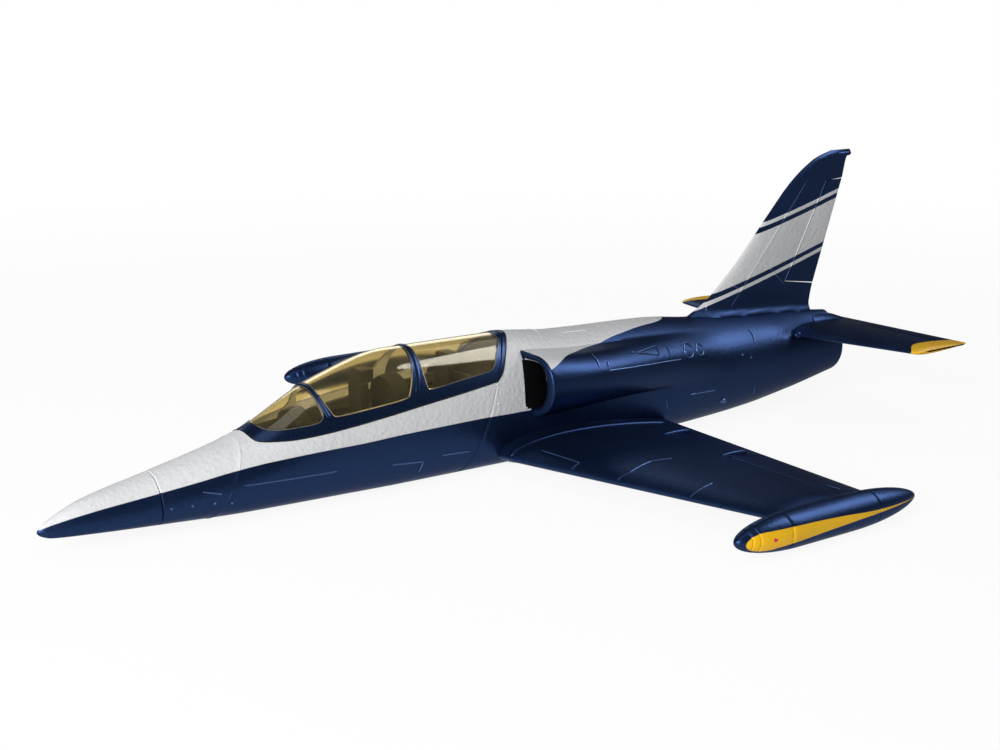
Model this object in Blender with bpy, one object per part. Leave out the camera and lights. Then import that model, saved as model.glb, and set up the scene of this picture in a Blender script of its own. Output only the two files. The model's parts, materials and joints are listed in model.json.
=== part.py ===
"""Radio-controlled ducted-fan jet trainer, built piece by piece.

Sizes are millimetres on the aircraft's own axes: X aft from the nose tip, Y to starboard, Z up.
An empty at the nose datum carries every piece, so the model stands on its belly with the
world origin under its middle. Meshes are written in metres.
"""

import math

import bmesh
import bpy
import numpy as np
from mathutils import Vector

MM = 0.001
CLEARANCE = 0.3
OVERCUT = 10.0
CUT_HALF_WIDTH = 80.0

# Fuselage stations: x, crown z, keel z, half width, z of the widest point, squareness of the belly
STATIONS = (
    (0.0, -27.9, -27.9, 0.0, -27.9, 2.0),
    (3.0, -24.0, -31.0, 2.8, -28.2, 2.0),
    (12.0, -18.2, -34.2, 6.5, -30.0, 2.0),
    (40.0, -6.8, -36.0, 14.5, -29.0, 2.0),
    (97.5, 5.1, -39.5, 25.0, -24.0, 2.0),
    (177.0, 23.2, -43.6, 36.0, -14.0, 2.1),
    (260.0, 62.0, -44.8, 42.0, -6.0, 2.3),
    (330.0, 78.0, -46.1, 44.0, 0.0, 2.4),
    (451.0, 77.2, -46.6, 45.5, 3.0, 2.5),
    (520.0, 70.8, -47.0, 49.0, 6.0, 2.5),
    (640.0, 67.0, -46.0, 52.0, 8.0, 2.3),
    (700.0, 60.5, -44.5, 48.5, 8.5, 2.2),
    (760.0, 56.5, -41.5, 44.0, 8.5, 2.1),
    (830.0, 52.0, -33.5, 37.5, 8.5, 2.0),
    (899.0, 45.0, -22.0, 30.0, 8.5, 2.0),
)
BELLY_FLAT = 1.2
BELLY_Z = min(row[2] for row in STATIONS) + BELLY_FLAT
NOSE_JOINT_X = 97.5
TAIL_X = STATIONS[-1][0]
CROWN_ANGLES = (90, 78, 66)
CHEEK_ANGLES = tuple(range(54, -1, -6))
BELLY_ANGLES = (-12, -24, -36, -48, -60, -72, -90)
NOSE_RINGS_X = (0, 3, 7, 12, 25, 40, 68)
FRONT_RINGS_X = (NOSE_JOINT_X, 130, 160, 177, 200, 230, 260, 295, 330, 390, 460)
REAR_RINGS_X = (490, 520, 560, 600, 640, 700, 760, 830, TAIL_X)

# Canopy hatch in side view: its lower edge from the front tip, along the rail and up the rear arch
HATCH_TIP = ((181.5, 29.0), (184.0, 23.5))
HATCH_RAIL = (
    (188.0, 19.8),
    (210.0, 19.3),
    (235.0, 20.3),
    (262.0, 22.4),
    (300.0, 27.0),
    (340.0, 31.2),
    (381.0, 35.2),
    (425.0, 40.2),
)
HATCH_ARCH = ((432.0, 46.3), (442.0, 61.4), (451.0, 71.9), (460.0, 78.5))
HATCH_EDGE = HATCH_TIP + HATCH_RAIL + HATCH_ARCH

# Joint between the front and rear fuselage: a plane that leans aft towards the canopy
SEAM_AHEAD_OF_LIP = 52.0
SEAM_LEAN = 0.44

# Cheek intakes
LIP_SETBACK = 1.0
LIP_X = HATCH_ARCH[-1][0] - LIP_SETBACK
SHOULDER_RING_LEADS = (89.0, 44.0)
LIP_ROUND = 2.5
CHEEK_CENTRE_Y = 46.0
CHEEK_CENTRE_Z = 33.0
CHEEK_WIDTH = 31.5
CHEEK_HALF_HEIGHT = 29.0
CHEEK_SQUARENESS = 2.4
CHEEK_LENGTH = 261.0
LIP_WALL = 4.0
DUCT_LENGTH = 133.0
DUCT_STRAIGHT = 24.0
DUCT_RINGS = 7
DUCT_STEPS = 12

# Fan unit and tail pipe
THRUST_Z = 8.5
FAN_FACE_X = LIP_X + DUCT_LENGTH
DUCT_MERGE_X = FAN_FACE_X - DUCT_STRAIGHT
FAN_LENGTH = 48.0
FAN_BORE_RADIUS = 27.8
SHROUD_WALL = 1.7
FLANGE_WIDTH = 2.0
FLANGE_LENGTH = 2.0
ROTOR_HUB_RADIUS = 12.5
ROTOR_HUB_LENGTH = 12.0
ROTOR_SETBACK = 4.0
BLADE_COUNT = 10
BLADE_TIP_GAP = 1.2
BLADE_THICKNESS = 1.2
BLADE_ANGLE = 38.0
BLADE_WASHOUT = 14.0
BLADE_ROOT_SINK = 1.5
BLADE_EDGE_GAP = 1.0
SPINNER_LENGTH = 17.0
STATOR_COUNT = 5
STATOR_THICKNESS = 1.6
STATOR_CHORD = 18.0
STATOR_SETBACK = 3.0
STATOR_HUB_WALL = 1.5
MOTOR_RADIUS = 12.0
MOTOR_LENGTH = 28.0
MOTOR_GAP = 2.0
SHAFT_HOLE_GAP = 1.0
MOTOR_SHAFT_RADIUS = 1.6
PIPE_FRONT_RADIUS = 29.2
PIPE_REAR_RADIUS = 25.0
PIPE_WALL = 1.0
PIPE_SETBACK = 2.0

# Foam walls and the equipment bay
FOAM_WALL = 5.0
BAY_FRONT_X = 130.0
REAR_BAY_HALF_WIDTH = 22.0
REAR_BAY_SPAR_GAP = 14.0
REAR_BAY_FLOOR_Z = -38.0
REAR_BAY_ROOF_Z = 14.0
NOSE_SPIGOT_RADIUS = 12.0
NOSE_SPIGOT_LENGTH = 10.0
NOSE_SPIGOT_Z = -19.0

# Canopy hatch
HATCH_TOP_Z = 100.0
HATCH_WALL = 2.6
HATCH_TIP_LENGTH = 10.5
HATCH_BULKHEAD = 4.5
HATCH_PIVOT_RISE = 0.5
HATCH_PIVOT = (HATCH_TIP[0][0], 0.0, HATCH_TIP[0][1] + HATCH_PIVOT_RISE)
GLASS_THICKNESS = 1.2
GLASS_SETBACK = 0.4
WINDSCREEN_OUTLINE = ((192, 100), (192.5, 30), (196, 26.6), (203, 25.4), (215, 26.6), (239, 29.3),
                      (244, 32), (246.2, 36), (244, 48), (243.2, 56), (243, 100))
FRONT_PANE_OUTLINE = ((248.5, 100), (247.2, 57), (248.5, 48), (254.5, 34), (257, 32.4), (299, 36),
                      (328, 38.8), (331, 42), (338, 57), (343, 71), (345.3, 78), (346, 100))
REAR_PANE_OUTLINE = ((353, 100), (351, 78), (349.4, 66), (349.4, 45), (352, 42.8), (388, 46.9),
                     (419, 49.8), (424.6, 52), (431, 61), (438.4, 68.8), (444, 73), (450, 100))
WINDOWS = (
    ("windscreen_pane", WINDSCREEN_OUTLINE),
    ("front_canopy_pane", FRONT_PANE_OUTLINE),
    ("rear_canopy_pane", REAR_PANE_OUTLINE),
)

# Cockpit under the glass
TUB_DEPTH = 14.0
TUB_FLOOR = 2.5
TUB_WALL = 2.5
TUB_FLANGE = 1.4
TUB_SIDE_GAP = 0.9
TUB_RINGS = 8
TUB_END_GAP = 7.0
TUB_FRONT_GAP = 24.5
TUB_FRONT_X = HATCH_TIP[0][0] + TUB_FRONT_GAP
TUB_REAR_X = HATCH_RAIL[-1][0] - TUB_END_GAP
REAR_SEAT_SETBACK = 30.0
REAR_PANEL_REACH = 50.0
COCKPIT_SPACING = 42.0
FRONT_PANEL_REACH = 56.0
REAR_SEAT_X = TUB_REAR_X - REAR_SEAT_SETBACK
REAR_PANEL_X = REAR_SEAT_X - REAR_PANEL_REACH
FRONT_SEAT_X = REAR_PANEL_X - COCKPIT_SPACING
FRONT_PANEL_X = FRONT_SEAT_X - FRONT_PANEL_REACH
PANEL_THICKNESS = 4.0
FRONT_PANEL_HALF_WIDTH = 19.0
REAR_PANEL_HALF_WIDTH = 22.0
FRONT_PANEL_TOP_Z = 38.0
REAR_PANEL_TOP_Z = 54.0
PANEL_FOOT_SHARE = 0.8
PANEL_SHOULDER_SHARE = 0.45
SEAT_HALF_WIDTH = 13.0
SEAT_LEAN = 6.0
HEAD_BOX_HEIGHT = 10.0
HEAD_BOX_REACH = 5.0
SEAT_DEPTH = 26.0
SEAT_BACK_THICKNESS = 9.0
SEAT_CUSHION_HEIGHT = 9.0
FRONT_SEAT_HEADROOM = 10.2
REAR_SEAT_HEADROOM = 12.2

# Hatch magnets, one in each half of the joint
MAGNET_RADIUS = 4.0
MAGNET_THICKNESS = 3.0
MAGNET_ARCH_SHARE = 0.54

# Equipment
TRAY_THICKNESS = 2.0
TRAY_SETBACK = 75.0
TRAY_FRONT_X = BAY_FRONT_X + TRAY_SETBACK
TRAY_LENGTH = 150.0
TRAY_HALF_WIDTH = 18.0
TRAY_FLOOR_GAP = 0.9
BATTERY_LENGTH = 88.0
BATTERY_WIDTH = 34.0
BATTERY_HEIGHT = 22.0
BATTERY_EDGE = 2.0
BATTERY_SETBACK = 9.0
BATTERY_FRONT_X = TRAY_FRONT_X + BATTERY_SETBACK
STRAP_WIDTH = 18.0
STRAP_THICKNESS = 1.2
RECEIVER_SIZE = (36.0, 22.0, 12.0)
RECEIVER_GAP = 10.0
RECEIVER_FRONT_X = BATTERY_FRONT_X + BATTERY_LENGTH + RECEIVER_GAP
ESC_SIZE = (46.0, 24.0, 10.0)
ESC_END_GAP = 18.0

# Wing
WING_ROOT_Y = 58.0
WING_PANEL_SPAN = 282.0
WING_TIP_Y = WING_ROOT_Y + WING_PANEL_SPAN
WING_AHEAD_OF_LIP = 34.0
WING_SWEEP = 48.0
WING_ROOT_LE_X = LIP_X - WING_AHEAD_OF_LIP
WING_TIP_LE_X = WING_ROOT_LE_X + WING_SWEEP
WING_ROOT_CHORD = 203.0
WING_TIP_CHORD = 111.0
WING_ROOT_Z = -27.5
WING_TIP_RISE = 7.0
WING_TIP_Z = WING_ROOT_Z + WING_TIP_RISE
WING_THICKNESS = 0.115
WING_CAMBER = 0.012
STUB_INNER_Y = 30.0
STUB_FLARE = 4.0
STUB_FLARE_SETBACK = 13.0
STUB_FAIR = 1.0
STUB_FAIR_SETBACK = 7.0
TRAILING_HALF = 0.5
SPAR_RADIUS = 3.0
SPAR_BORE_RADIUS = 1.8
SPAR_HALF_SPAN = 160.0
SPAR_SETBACK = 77.0
SPAR_X = WING_ROOT_LE_X + SPAR_SETBACK
SPAR_RISE = 0.5
SPAR_Z = WING_ROOT_Z + SPAR_RISE
TONGUE_SETBACK = 117.0
TONGUE_FRONT_X = WING_ROOT_LE_X + TONGUE_SETBACK
TONGUE_LENGTH = 22.0
TONGUE_REACH = 12.0
TONGUE_THICKNESS = 4.0
TONGUE_ROOT = 10.0
SCREW_RADIUS = 1.5
SCREW_HEAD_RADIUS = 2.8
SCREW_HEAD_HEIGHT = 1.8
SCREW_LENGTH = 12.0
SCREW_SEAT_WALL = 3.0

# Control surfaces: hinge places, and the gaps that let them swing
AILERON_TIP_GAP = 13.0
AILERON_SPAN = 127.0
AILERON_OUTER_Y = WING_TIP_Y - AILERON_TIP_GAP
AILERON_INNER_Y = AILERON_OUTER_Y - AILERON_SPAN
AILERON_HINGE_SHARE = 0.74
END_GAP = 0.8
NOSE_GAP = 0.5
ELEVATOR_INNER_Y = 52.0
ELEVATOR_TAIL_GAP = 6.0
ELEVATOR_HINGE_X = TAIL_X + ELEVATOR_TAIL_GAP
ELEVATOR_ROOT_CHORD = 23.5
ELEVATOR_TIP_CHORD = 21.0
JOINER_GRIP = 12.0
RUDDER_LOW_Z = 83.0
RUDDER_LOW_CHORD = 44.92
RUDDER_TRAIL_DROP = 6.0
RUDDER_HIGH_Z = 186.0
RUDDER_HIGH_CHORD = 21.35
RUDDER_TRAIL_RISE = 1.0
JOINER_RADIUS = 1.0

# Tip tanks
TANK_OVERHANG = 6.0
TANK_Y = WING_TIP_Y + TANK_OVERHANG
TANK_DROP = 8.8
TANK_Z = WING_TIP_Z - TANK_DROP
TANK_RADIUS = 15.7
TANK_LEAD = 50.0
TANK_LENGTH = 212.0
TANK_NOSE_X = WING_TIP_LE_X - TANK_LEAD
TANK_TAIL_X = TANK_NOSE_X + TANK_LENGTH
TANK_NOSE_LENGTH = 66.0
TANK_TAIL_LENGTH = 84.0
TANK_NOSE_FULLNESS = 0.5
TANK_TAIL_FULLNESS = 0.58
TANK_SIDES = 18
OGIVE_CROWDING = 1.6

# Tailplane
STAB_Z = 33.0
STAB_AHEAD_OF_TAIL = 89.0
STAB_SWEEP = 37.0
STAB_ROOT_LE_X = TAIL_X - STAB_AHEAD_OF_TAIL
STAB_TIP_LE_X = STAB_ROOT_LE_X + STAB_SWEEP
STAB_ROOT_TE_X = ELEVATOR_HINGE_X + ELEVATOR_ROOT_CHORD
STAB_TIP_TE_X = ELEVATOR_HINGE_X + ELEVATOR_TIP_CHORD
STAB_TIP_Y = 172.0
STAB_TIP_BAND = 22.0
ELEVATOR_OUTER_Y = STAB_TIP_Y - STAB_TIP_BAND
STAB_CENTRE_GAP = 0.2
STAB_THICKNESS = 0.088
STAB_TIP_ROUND_Y = 5.0
STAB_TIP_ROUND_X = 4.0
STAB_TIP_ROUND_LENGTH = 20.0

# Fin in side view: z, leading edge x, trailing edge x, thickness
FIN_LEVELS = (
    (40.0, 662.0, 872.0, 11.5),
    (59.5, 692.0, 874.5, 11.0),
    (74.0, 720.0, 877.7, 10.5),
    (93.0, 744.0, 884.5, 10.0),
    (112.0, 765.0, 891.2, 9.5),
    (159.0, 810.0, 907.9, 8.0),
    (189.0, 841.0, 918.4, 7.0),
    (209.5, 873.0, 924.0, 6.0),
    (213.5, 884.0, 930.6, 5.0),
    (217.5, 899.0, 928.0, 2.0),
)
TOTAL_LENGTH = FIN_LEVELS[-2][2]

# Servo linkages
SERVO_LENGTH = 20.0
SERVO_THICKNESS = 8.2
SERVO_HEIGHT = 16.0
SERVO_EAR_LENGTH = 3.5
SERVO_EAR_THICKNESS = 1.6
SERVO_SHAFT_RADIUS = 1.8
SERVO_SHAFT_SET = 5.0
SERVO_SHAFT_PROUD = 0.3
SERVO_ARM_GAP = 1.5
SERVO_EAR_SET = 4.0
ARM_THICKNESS = 1.6
ARM_HUB_RADIUS = 3.2
ARM_END_RADIUS = 2.1
PIN_HOLE_RADIUS = 1.1
PIN_PROUD = 1.0
PUSHROD_RADIUS = 0.7
PUSHROD_SIDE = 2.2
HORN_BASE = 8.0
HORN_FRONT = 1.0
ARM_SLOT_HALF = 8.0
AILERON_LINK_INSET = 38.0
AILERON_LINK_Y = AILERON_INNER_Y + AILERON_LINK_INSET
AILERON_LINK_RUN = 48.0
AILERON_ARM = 13.0
AILERON_SHAFT_DROP = 3.0
ELEVATOR_LINK_INSET = 8.0
ELEVATOR_LINK_Y = ELEVATOR_INNER_Y + ELEVATOR_LINK_INSET
ELEVATOR_LINK_RUN = 44.0
ELEVATOR_ARM = 11.0
ELEVATOR_SHAFT_DROP = 1.5
RUDDER_LINK_SHARE = 0.16
RUDDER_LINK_RUN = 36.0
RUDDER_ARM = 12.0
RUDDER_SHAFT_DROP = 1.5

# Finishes: colour, roughness, metallic
BLUE = ((0.018, 0.032, 0.115), 0.32, 0.55)
SILVER = ((0.60, 0.60, 0.61), 0.36, 0.70)
AMBER = ((0.55, 0.38, 0.10), 0.08, 0.0)
BLACK = ((0.02, 0.02, 0.022), 0.50, 0.0)
GREY = ((0.16, 0.16, 0.17), 0.55, 0.0)
STEEL = ((0.55, 0.55, 0.56), 0.30, 1.0)
CARBON = ((0.03, 0.03, 0.032), 0.35, 0.0)
PLYWOOD = ((0.55, 0.40, 0.22), 0.60, 0.0)
WHITE = ((0.75, 0.75, 0.74), 0.40, 0.0)


def clear_scene():
    """Removes whatever the scene starts with."""
    for obj in list(bpy.data.objects):
        bpy.data.objects.remove(obj, do_unlink=True)


def make_datum():
    """The empty at the nose datum: it stands the aircraft on its belly over the world origin."""
    datum = bpy.data.objects.new("nose_datum", None)
    datum.location = (-TOTAL_LENGTH / 2 * MM, 0.0, -BELLY_Z * MM)
    bpy.context.scene.collection.objects.link(datum)
    return datum


# Curves and sections


def through(knots, values, x):
    """A smooth curve through the knots that never overshoots them, read at x."""
    knots = np.asarray(knots, float)
    values = np.asarray(values, float)
    step = np.diff(knots)
    rise = np.diff(values) / step
    slope = np.empty_like(values)
    slope[0] = rise[0]
    slope[-1] = rise[-1]
    for i in range(1, len(values) - 1):
        if rise[i - 1] * rise[i] <= 0:
            slope[i] = 0.0
            continue
        before = 2 * step[i] + step[i - 1]
        after = step[i] + 2 * step[i - 1]
        slope[i] = (before + after) / (before / rise[i - 1] + after / rise[i])
    i = int(np.clip(np.searchsorted(knots, x) - 1, 0, len(step) - 1))
    t = (x - knots[i]) / step[i]
    h = step[i]
    return (
        values[i] * (1 + 2 * t) * (1 - t) ** 2
        + slope[i] * h * t * (1 - t) ** 2
        + values[i + 1] * t * t * (3 - 2 * t)
        + slope[i + 1] * h * t * t * (t - 1)
    )


def ease(t):
    """A smooth step from 0 to 1."""
    t = min(max(t, 0.0), 1.0)
    return t * t * (3 - 2 * t)


def signed_power(value, power):
    return math.copysign(abs(value) ** power, value)


def station(x):
    """Crown, keel, half width, waist height and belly squareness of the fuselage at x."""
    knots = [row[0] for row in STATIONS]
    return [through(knots, [row[k] for row in STATIONS], x) for k in range(1, 6)]


def half_width_at(x, z, inset):
    """Half width of the fuselage inside an inset, at a height above its waist."""
    crown, _, half, waist, _ = station(x)
    up = (z - waist) / (crown - inset - waist)
    return (half - inset) * math.sqrt(1 - up * up)


def core_point(x, angle, inset):
    """A point of the plain fuselage section at x, as y and z."""
    crown, keel, half, waist, square = station(x)
    across = math.cos(math.radians(angle))
    up = math.sin(math.radians(angle))
    if up >= 0:
        return (half - inset) * across, waist + (crown - inset - waist) * up
    power = 2 / square
    y = (half - inset) * signed_power(max(across, 0.0), power)
    return y, waist + (waist - keel - inset) * signed_power(up, power)


def cheek_point(angle, wall=0.0):
    """A point of the intake lip's outline, by the fuselage angle that it belongs to."""
    first, last = CHEEK_ANGLES[0], CHEEK_ANGLES[-1]
    step = (first - last) / (len(CHEEK_ANGLES) - 1)
    share = (first - step - angle) / (first - step - last)
    turn = math.pi / 2 - math.pi * share
    square = CHEEK_SQUARENESS if turn > 0 else 2.0
    y = CHEEK_CENTRE_Y + (CHEEK_WIDTH - wall) * max(math.cos(turn), 0.0) ** (2 / square)
    z = CHEEK_CENTRE_Z + (CHEEK_HALF_HEIGHT - wall) * signed_power(math.sin(turn), 2 / square)
    return y, z


def body_ring(x, inset=0.0, cheek=0.0):
    """One closed section of the fuselage; cheek is how much of the intake bulge it carries."""
    half = [core_point(x, angle, inset) for angle in CROWN_ANGLES]
    for angle in CHEEK_ANGLES:
        y, z = core_point(x, angle, inset)
        if cheek > 0 and angle != CHEEK_ANGLES[0]:
            base_y, base_z = core_point(LIP_X, angle, 0.0)
            lip_y, lip_z = cheek_point(angle)
            y += cheek * (lip_y - base_y)
            z += cheek * (lip_z - base_z)
        half.append((y, z))
    half += [core_point(x, angle, inset) for angle in BELLY_ANGLES]
    half[0] = (0.0, half[0][1])
    half[-1] = (0.0, half[-1][1])
    port = [(-y, z) for y, z in half[-2:0:-1]]
    return [(x, y, z) for y, z in half + port]


def cheek_share(x):
    """How much of the intake bulge is left at x."""
    return 1.0 - ease((x - LIP_X) / CHEEK_LENGTH)


def aerofoil(chord, thickness, camber=0.0, count=11):
    """A closed wing section as (aft, up) pairs, from the trailing edge over the top and back."""
    stations = [(1 - math.cos(math.pi * i / (count - 1))) / 2 for i in range(count)]
    upper = []
    lower = []
    for s in stations:
        half = 5 * thickness * (
            0.2969 * math.sqrt(s) - 0.126 * s - 0.3516 * s**2 + 0.2843 * s**3 - 0.1036 * s**4
        )
        half = half * chord + TRAILING_HALF * s
        mean = 4 * camber * chord * s * (1 - s)
        upper.append((s * chord, mean + half))
        lower.append((s * chord, mean - half))
    return upper[::-1] + lower[1:]


# Meshes


def new_object(name, mesh, origin=(0.0, 0.0, 0.0)):
    """Links a mesh, written in millimetres, as an object whose own origin is at the given point."""
    for vertex in mesh.vertices:
        vertex.co = (vertex.co - Vector(origin)) * MM
    obj = bpy.data.objects.new(name, mesh)
    obj.parent = DATUM
    obj.location = Vector(origin) * MM
    bpy.context.scene.collection.objects.link(obj)
    return obj


def mesh_from(bm, name):
    bmesh.ops.remove_doubles(bm, verts=bm.verts, dist=1e-5)
    bmesh.ops.recalc_face_normals(bm, faces=bm.faces)
    mesh = bpy.data.meshes.new(name)
    bm.to_mesh(mesh)
    bm.free()
    mesh.shade_smooth()
    mesh.set_sharp_from_angle(angle=math.radians(30))
    return mesh


def loft_bm(rings):
    """A closed skin over rings of equal count, capped at both ends."""
    bm = bmesh.new()
    loops = [[bm.verts.new(point) for point in ring] for ring in rings]
    count = len(loops[0])
    for near, far in zip(loops, loops[1:]):
        for i in range(count):
            j = (i + 1) % count
            bm.faces.new((near[i], near[j], far[j], far[i]))
    bm.faces.new(loops[0][::-1])
    bm.faces.new(loops[-1])
    return bm


def loft(name, rings, origin=(0.0, 0.0, 0.0)):
    return new_object(name, mesh_from(loft_bm(rings), name), origin)


def slice_off(bm, point, outward):
    """Cuts a closed mesh by a plane, drops the outward side and closes the cut."""
    bmesh.ops.remove_doubles(bm, verts=bm.verts, dist=1e-5)
    everything = bm.verts[:] + bm.edges[:] + bm.faces[:]
    bmesh.ops.bisect_plane(
        bm, geom=everything, dist=1e-6, plane_co=point, plane_no=outward, clear_outer=True
    )
    rim = [edge for edge in bm.edges if edge.is_boundary]
    bmesh.ops.contextual_create(bm, geom=rim)


def extrude_outline(name, outline, depth, place, origin=(0.0, 0.0, 0.0)):
    """A plate: outline is (u, v) pairs, depth its two faces' w values, place maps (u, v, w) to a point."""
    rings = [[place(u, v, w) for u, v in outline] for w in depth]
    return loft(name, rings, origin)


def side_plate(name, outline, half_width):
    """An outline in side view, (x, z), made solid across the aircraft."""
    return extrude_outline(name, outline, (-half_width, half_width), lambda x, z, y: (x, y, z))


def plan_plate(name, outline, low, high):
    """An outline in plan view, (x, y), made solid from low to high."""
    return extrude_outline(name, outline, (low, high), lambda x, y, z: (x, y, z))


def block(name, low, high, origin=(0.0, 0.0, 0.0)):
    """A box between two corners."""
    outline = ((low[0], low[1]), (high[0], low[1]), (high[0], high[1]), (low[0], high[1]))
    return extrude_outline(name, outline, (low[2], high[2]), lambda x, y, z: (x, y, z), origin)


def turned(name, profile, place, sides=32, origin=(0.0, 0.0, 0.0)):
    """A solid of revolution: profile is (along, radius) pairs, place maps (along, c, s) to a point."""
    rings = []
    for along, radius in profile:
        turns = [2 * math.pi * i / sides for i in range(sides)]
        rings.append([place(along, radius * math.cos(t), radius * math.sin(t)) for t in turns])
    return loft(name, rings, origin)


def on_thrust_line(along, c, s):
    return along, c, THRUST_Z + s


def offset_outline(outline, distance):
    """The outline moved outwards by a distance, corner by corner."""
    points = [Vector(point) for point in outline]
    count = len(points)
    area = sum(
        points[i].x * points[(i + 1) % count].y - points[(i + 1) % count].x * points[i].y
        for i in range(count)
    )
    turn = math.copysign(1.0, area)
    moved = []
    for i, point in enumerate(points):
        before = (point - points[i - 1]).normalized()
        after = (points[(i + 1) % count] - point).normalized()
        normal_a = Vector((before.y, -before.x)) * turn
        normal_b = Vector((after.y, -after.x)) * turn
        moved.append(tuple(point + (normal_a + normal_b) * distance / (1 + normal_a.dot(normal_b))))
    return moved


def combine(target, other, operation):
    """Leaves a Boolean on the target; the other solid becomes a hidden helper."""
    modifier = target.modifiers.new(operation.lower() + "_" + other.name, "BOOLEAN")
    modifier.operation = operation
    modifier.object = other
    modifier.solver = "EXACT"
    other.hide_render = True
    other.display_type = "WIRE"
    return target


def cut(target, *cutters):
    for cutter in cutters:
        combine(target, cutter, "DIFFERENCE")
    return target


def finish(obj, look):
    """Gives the object its own Principled material."""
    colour, roughness, metallic = look
    material = bpy.data.materials.new(obj.name + "_finish")
    material.use_nodes = True
    shader = material.node_tree.nodes["Principled BSDF"]
    shader.inputs["Base Color"].default_value = (*colour, 1.0)
    shader.inputs["Roughness"].default_value = roughness
    shader.inputs["Metallic"].default_value = metallic
    obj.data.materials.append(material)
    return obj


# Fuselage


def seam_x(z):
    return LIP_X - SEAM_AHEAD_OF_LIP + SEAM_LEAN * z


def hatch_outline(clearance=0.0):
    """The hatch in side view, closed well above the canopy."""
    front, rear = HATCH_EDGE[0], HATCH_EDGE[-1]
    top = ((rear[0], HATCH_TOP_Z), (front[0], HATCH_TOP_Z))
    return offset_outline(HATCH_EDGE + top, clearance)


def rail_z(x):
    """Height of the hatch's lower edge along the cockpit sides."""
    return through([p[0] for p in HATCH_RAIL], [p[1] for p in HATCH_RAIL], x)


def front_loft(name, first, last, inset):
    """The plain fuselage between two stations, drawn in by an inset."""
    inner = [x for x in FRONT_RINGS_X if first < x < last]
    return loft(name, [body_ring(x, inset) for x in [first, *inner, last]])


def full_rear_rings(grow=0.0):
    """Sections of the rear fuselage: plain up to the lips, then with the cheeks that fade aft."""
    rings = [body_ring(LIP_X - lead, -grow) for lead in (*SHOULDER_RING_LEADS, 0.0)]
    rings.append(body_ring(LIP_X, -grow, 1.0 - LIP_ROUND / CHEEK_WIDTH))
    rings.append(body_ring(LIP_X + LIP_ROUND, -grow, 1.0))
    rings += [body_ring(x, -grow, cheek_share(x)) for x in REAR_RINGS_X]
    if grow:
        rings[-1] = [(x + grow, y, z) for x, y, z in rings[-1]]
    return rings


def make_nose_cone():
    stations = (*NOSE_RINGS_X, NOSE_JOINT_X - CLEARANCE / 2)
    nose = loft("nose_cone", [body_ring(x) for x in stations])
    spigot = nose_spigot("nose_spigot", 0.0)
    combine(nose, spigot, "UNION")
    return finish(nose, SILVER)


def nose_spigot(name, clearance):
    """The peg behind the nose cone, or with a clearance the socket for it."""
    profile = (
        (NOSE_JOINT_X - OVERCUT, NOSE_SPIGOT_RADIUS + clearance),
        (NOSE_JOINT_X + NOSE_SPIGOT_LENGTH + clearance, NOSE_SPIGOT_RADIUS + clearance),
    )
    return turned(name, profile, lambda a, c, s: (a, c, NOSE_SPIGOT_Z + s), 24)


def make_front_fuselage():
    """The forward tub: foam walls round an equipment bay that the hatch covers."""
    xs = [NOSE_JOINT_X + CLEARANCE / 2, *FRONT_RINGS_X[1:]]
    bm = loft_bm([body_ring(x) for x in xs])
    seam_normal = Vector((1.0, 0.0, -SEAM_LEAN))
    slice_off(bm, (seam_x(0.0) - CLEARANCE / 2, 0.0, 0.0), seam_normal)
    slice_off(bm, (0.0, 0.0, BELLY_Z), (0.0, 0.0, -1.0))
    front = new_object("front_fuselage", mesh_from(bm, "front_fuselage"))
    bay = front_loft("front_bay", BAY_FRONT_X, FRONT_RINGS_X[-1], FOAM_WALL)
    cut(front, side_plate("front_hatch_cut", hatch_outline(), CUT_HALF_WIDTH), bay)
    cut(front, nose_spigot("nose_socket", CLEARANCE))
    return finish(front, SILVER)


def duct_ring(x, side):
    """A half-round section of one intake duct, from its mouth to the fan face."""
    share = ease((x - LIP_X) / (DUCT_MERGE_X - LIP_X))
    centre_y = CHEEK_CENTRE_Y * (1 - share)
    centre_z = CHEEK_CENTRE_Z + (THRUST_Z - CHEEK_CENTRE_Z) * share
    width = (CHEEK_WIDTH - LIP_WALL) * (1 - share) + FAN_BORE_RADIUS * share
    height = (CHEEK_HALF_HEIGHT - LIP_WALL) * (1 - share) + FAN_BORE_RADIUS * share
    square = CHEEK_SQUARENESS * (1 - share) + 2.0 * share
    points = []
    for i in range(DUCT_STEPS + 1):
        turn = math.pi / 2 - math.pi * i / DUCT_STEPS
        y = centre_y + width * max(math.cos(turn), 0.0) ** (2 / square)
        z = centre_z + height * signed_power(math.sin(turn), 2 / square)
        points.append((x, side * y, z))
    return points


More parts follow.
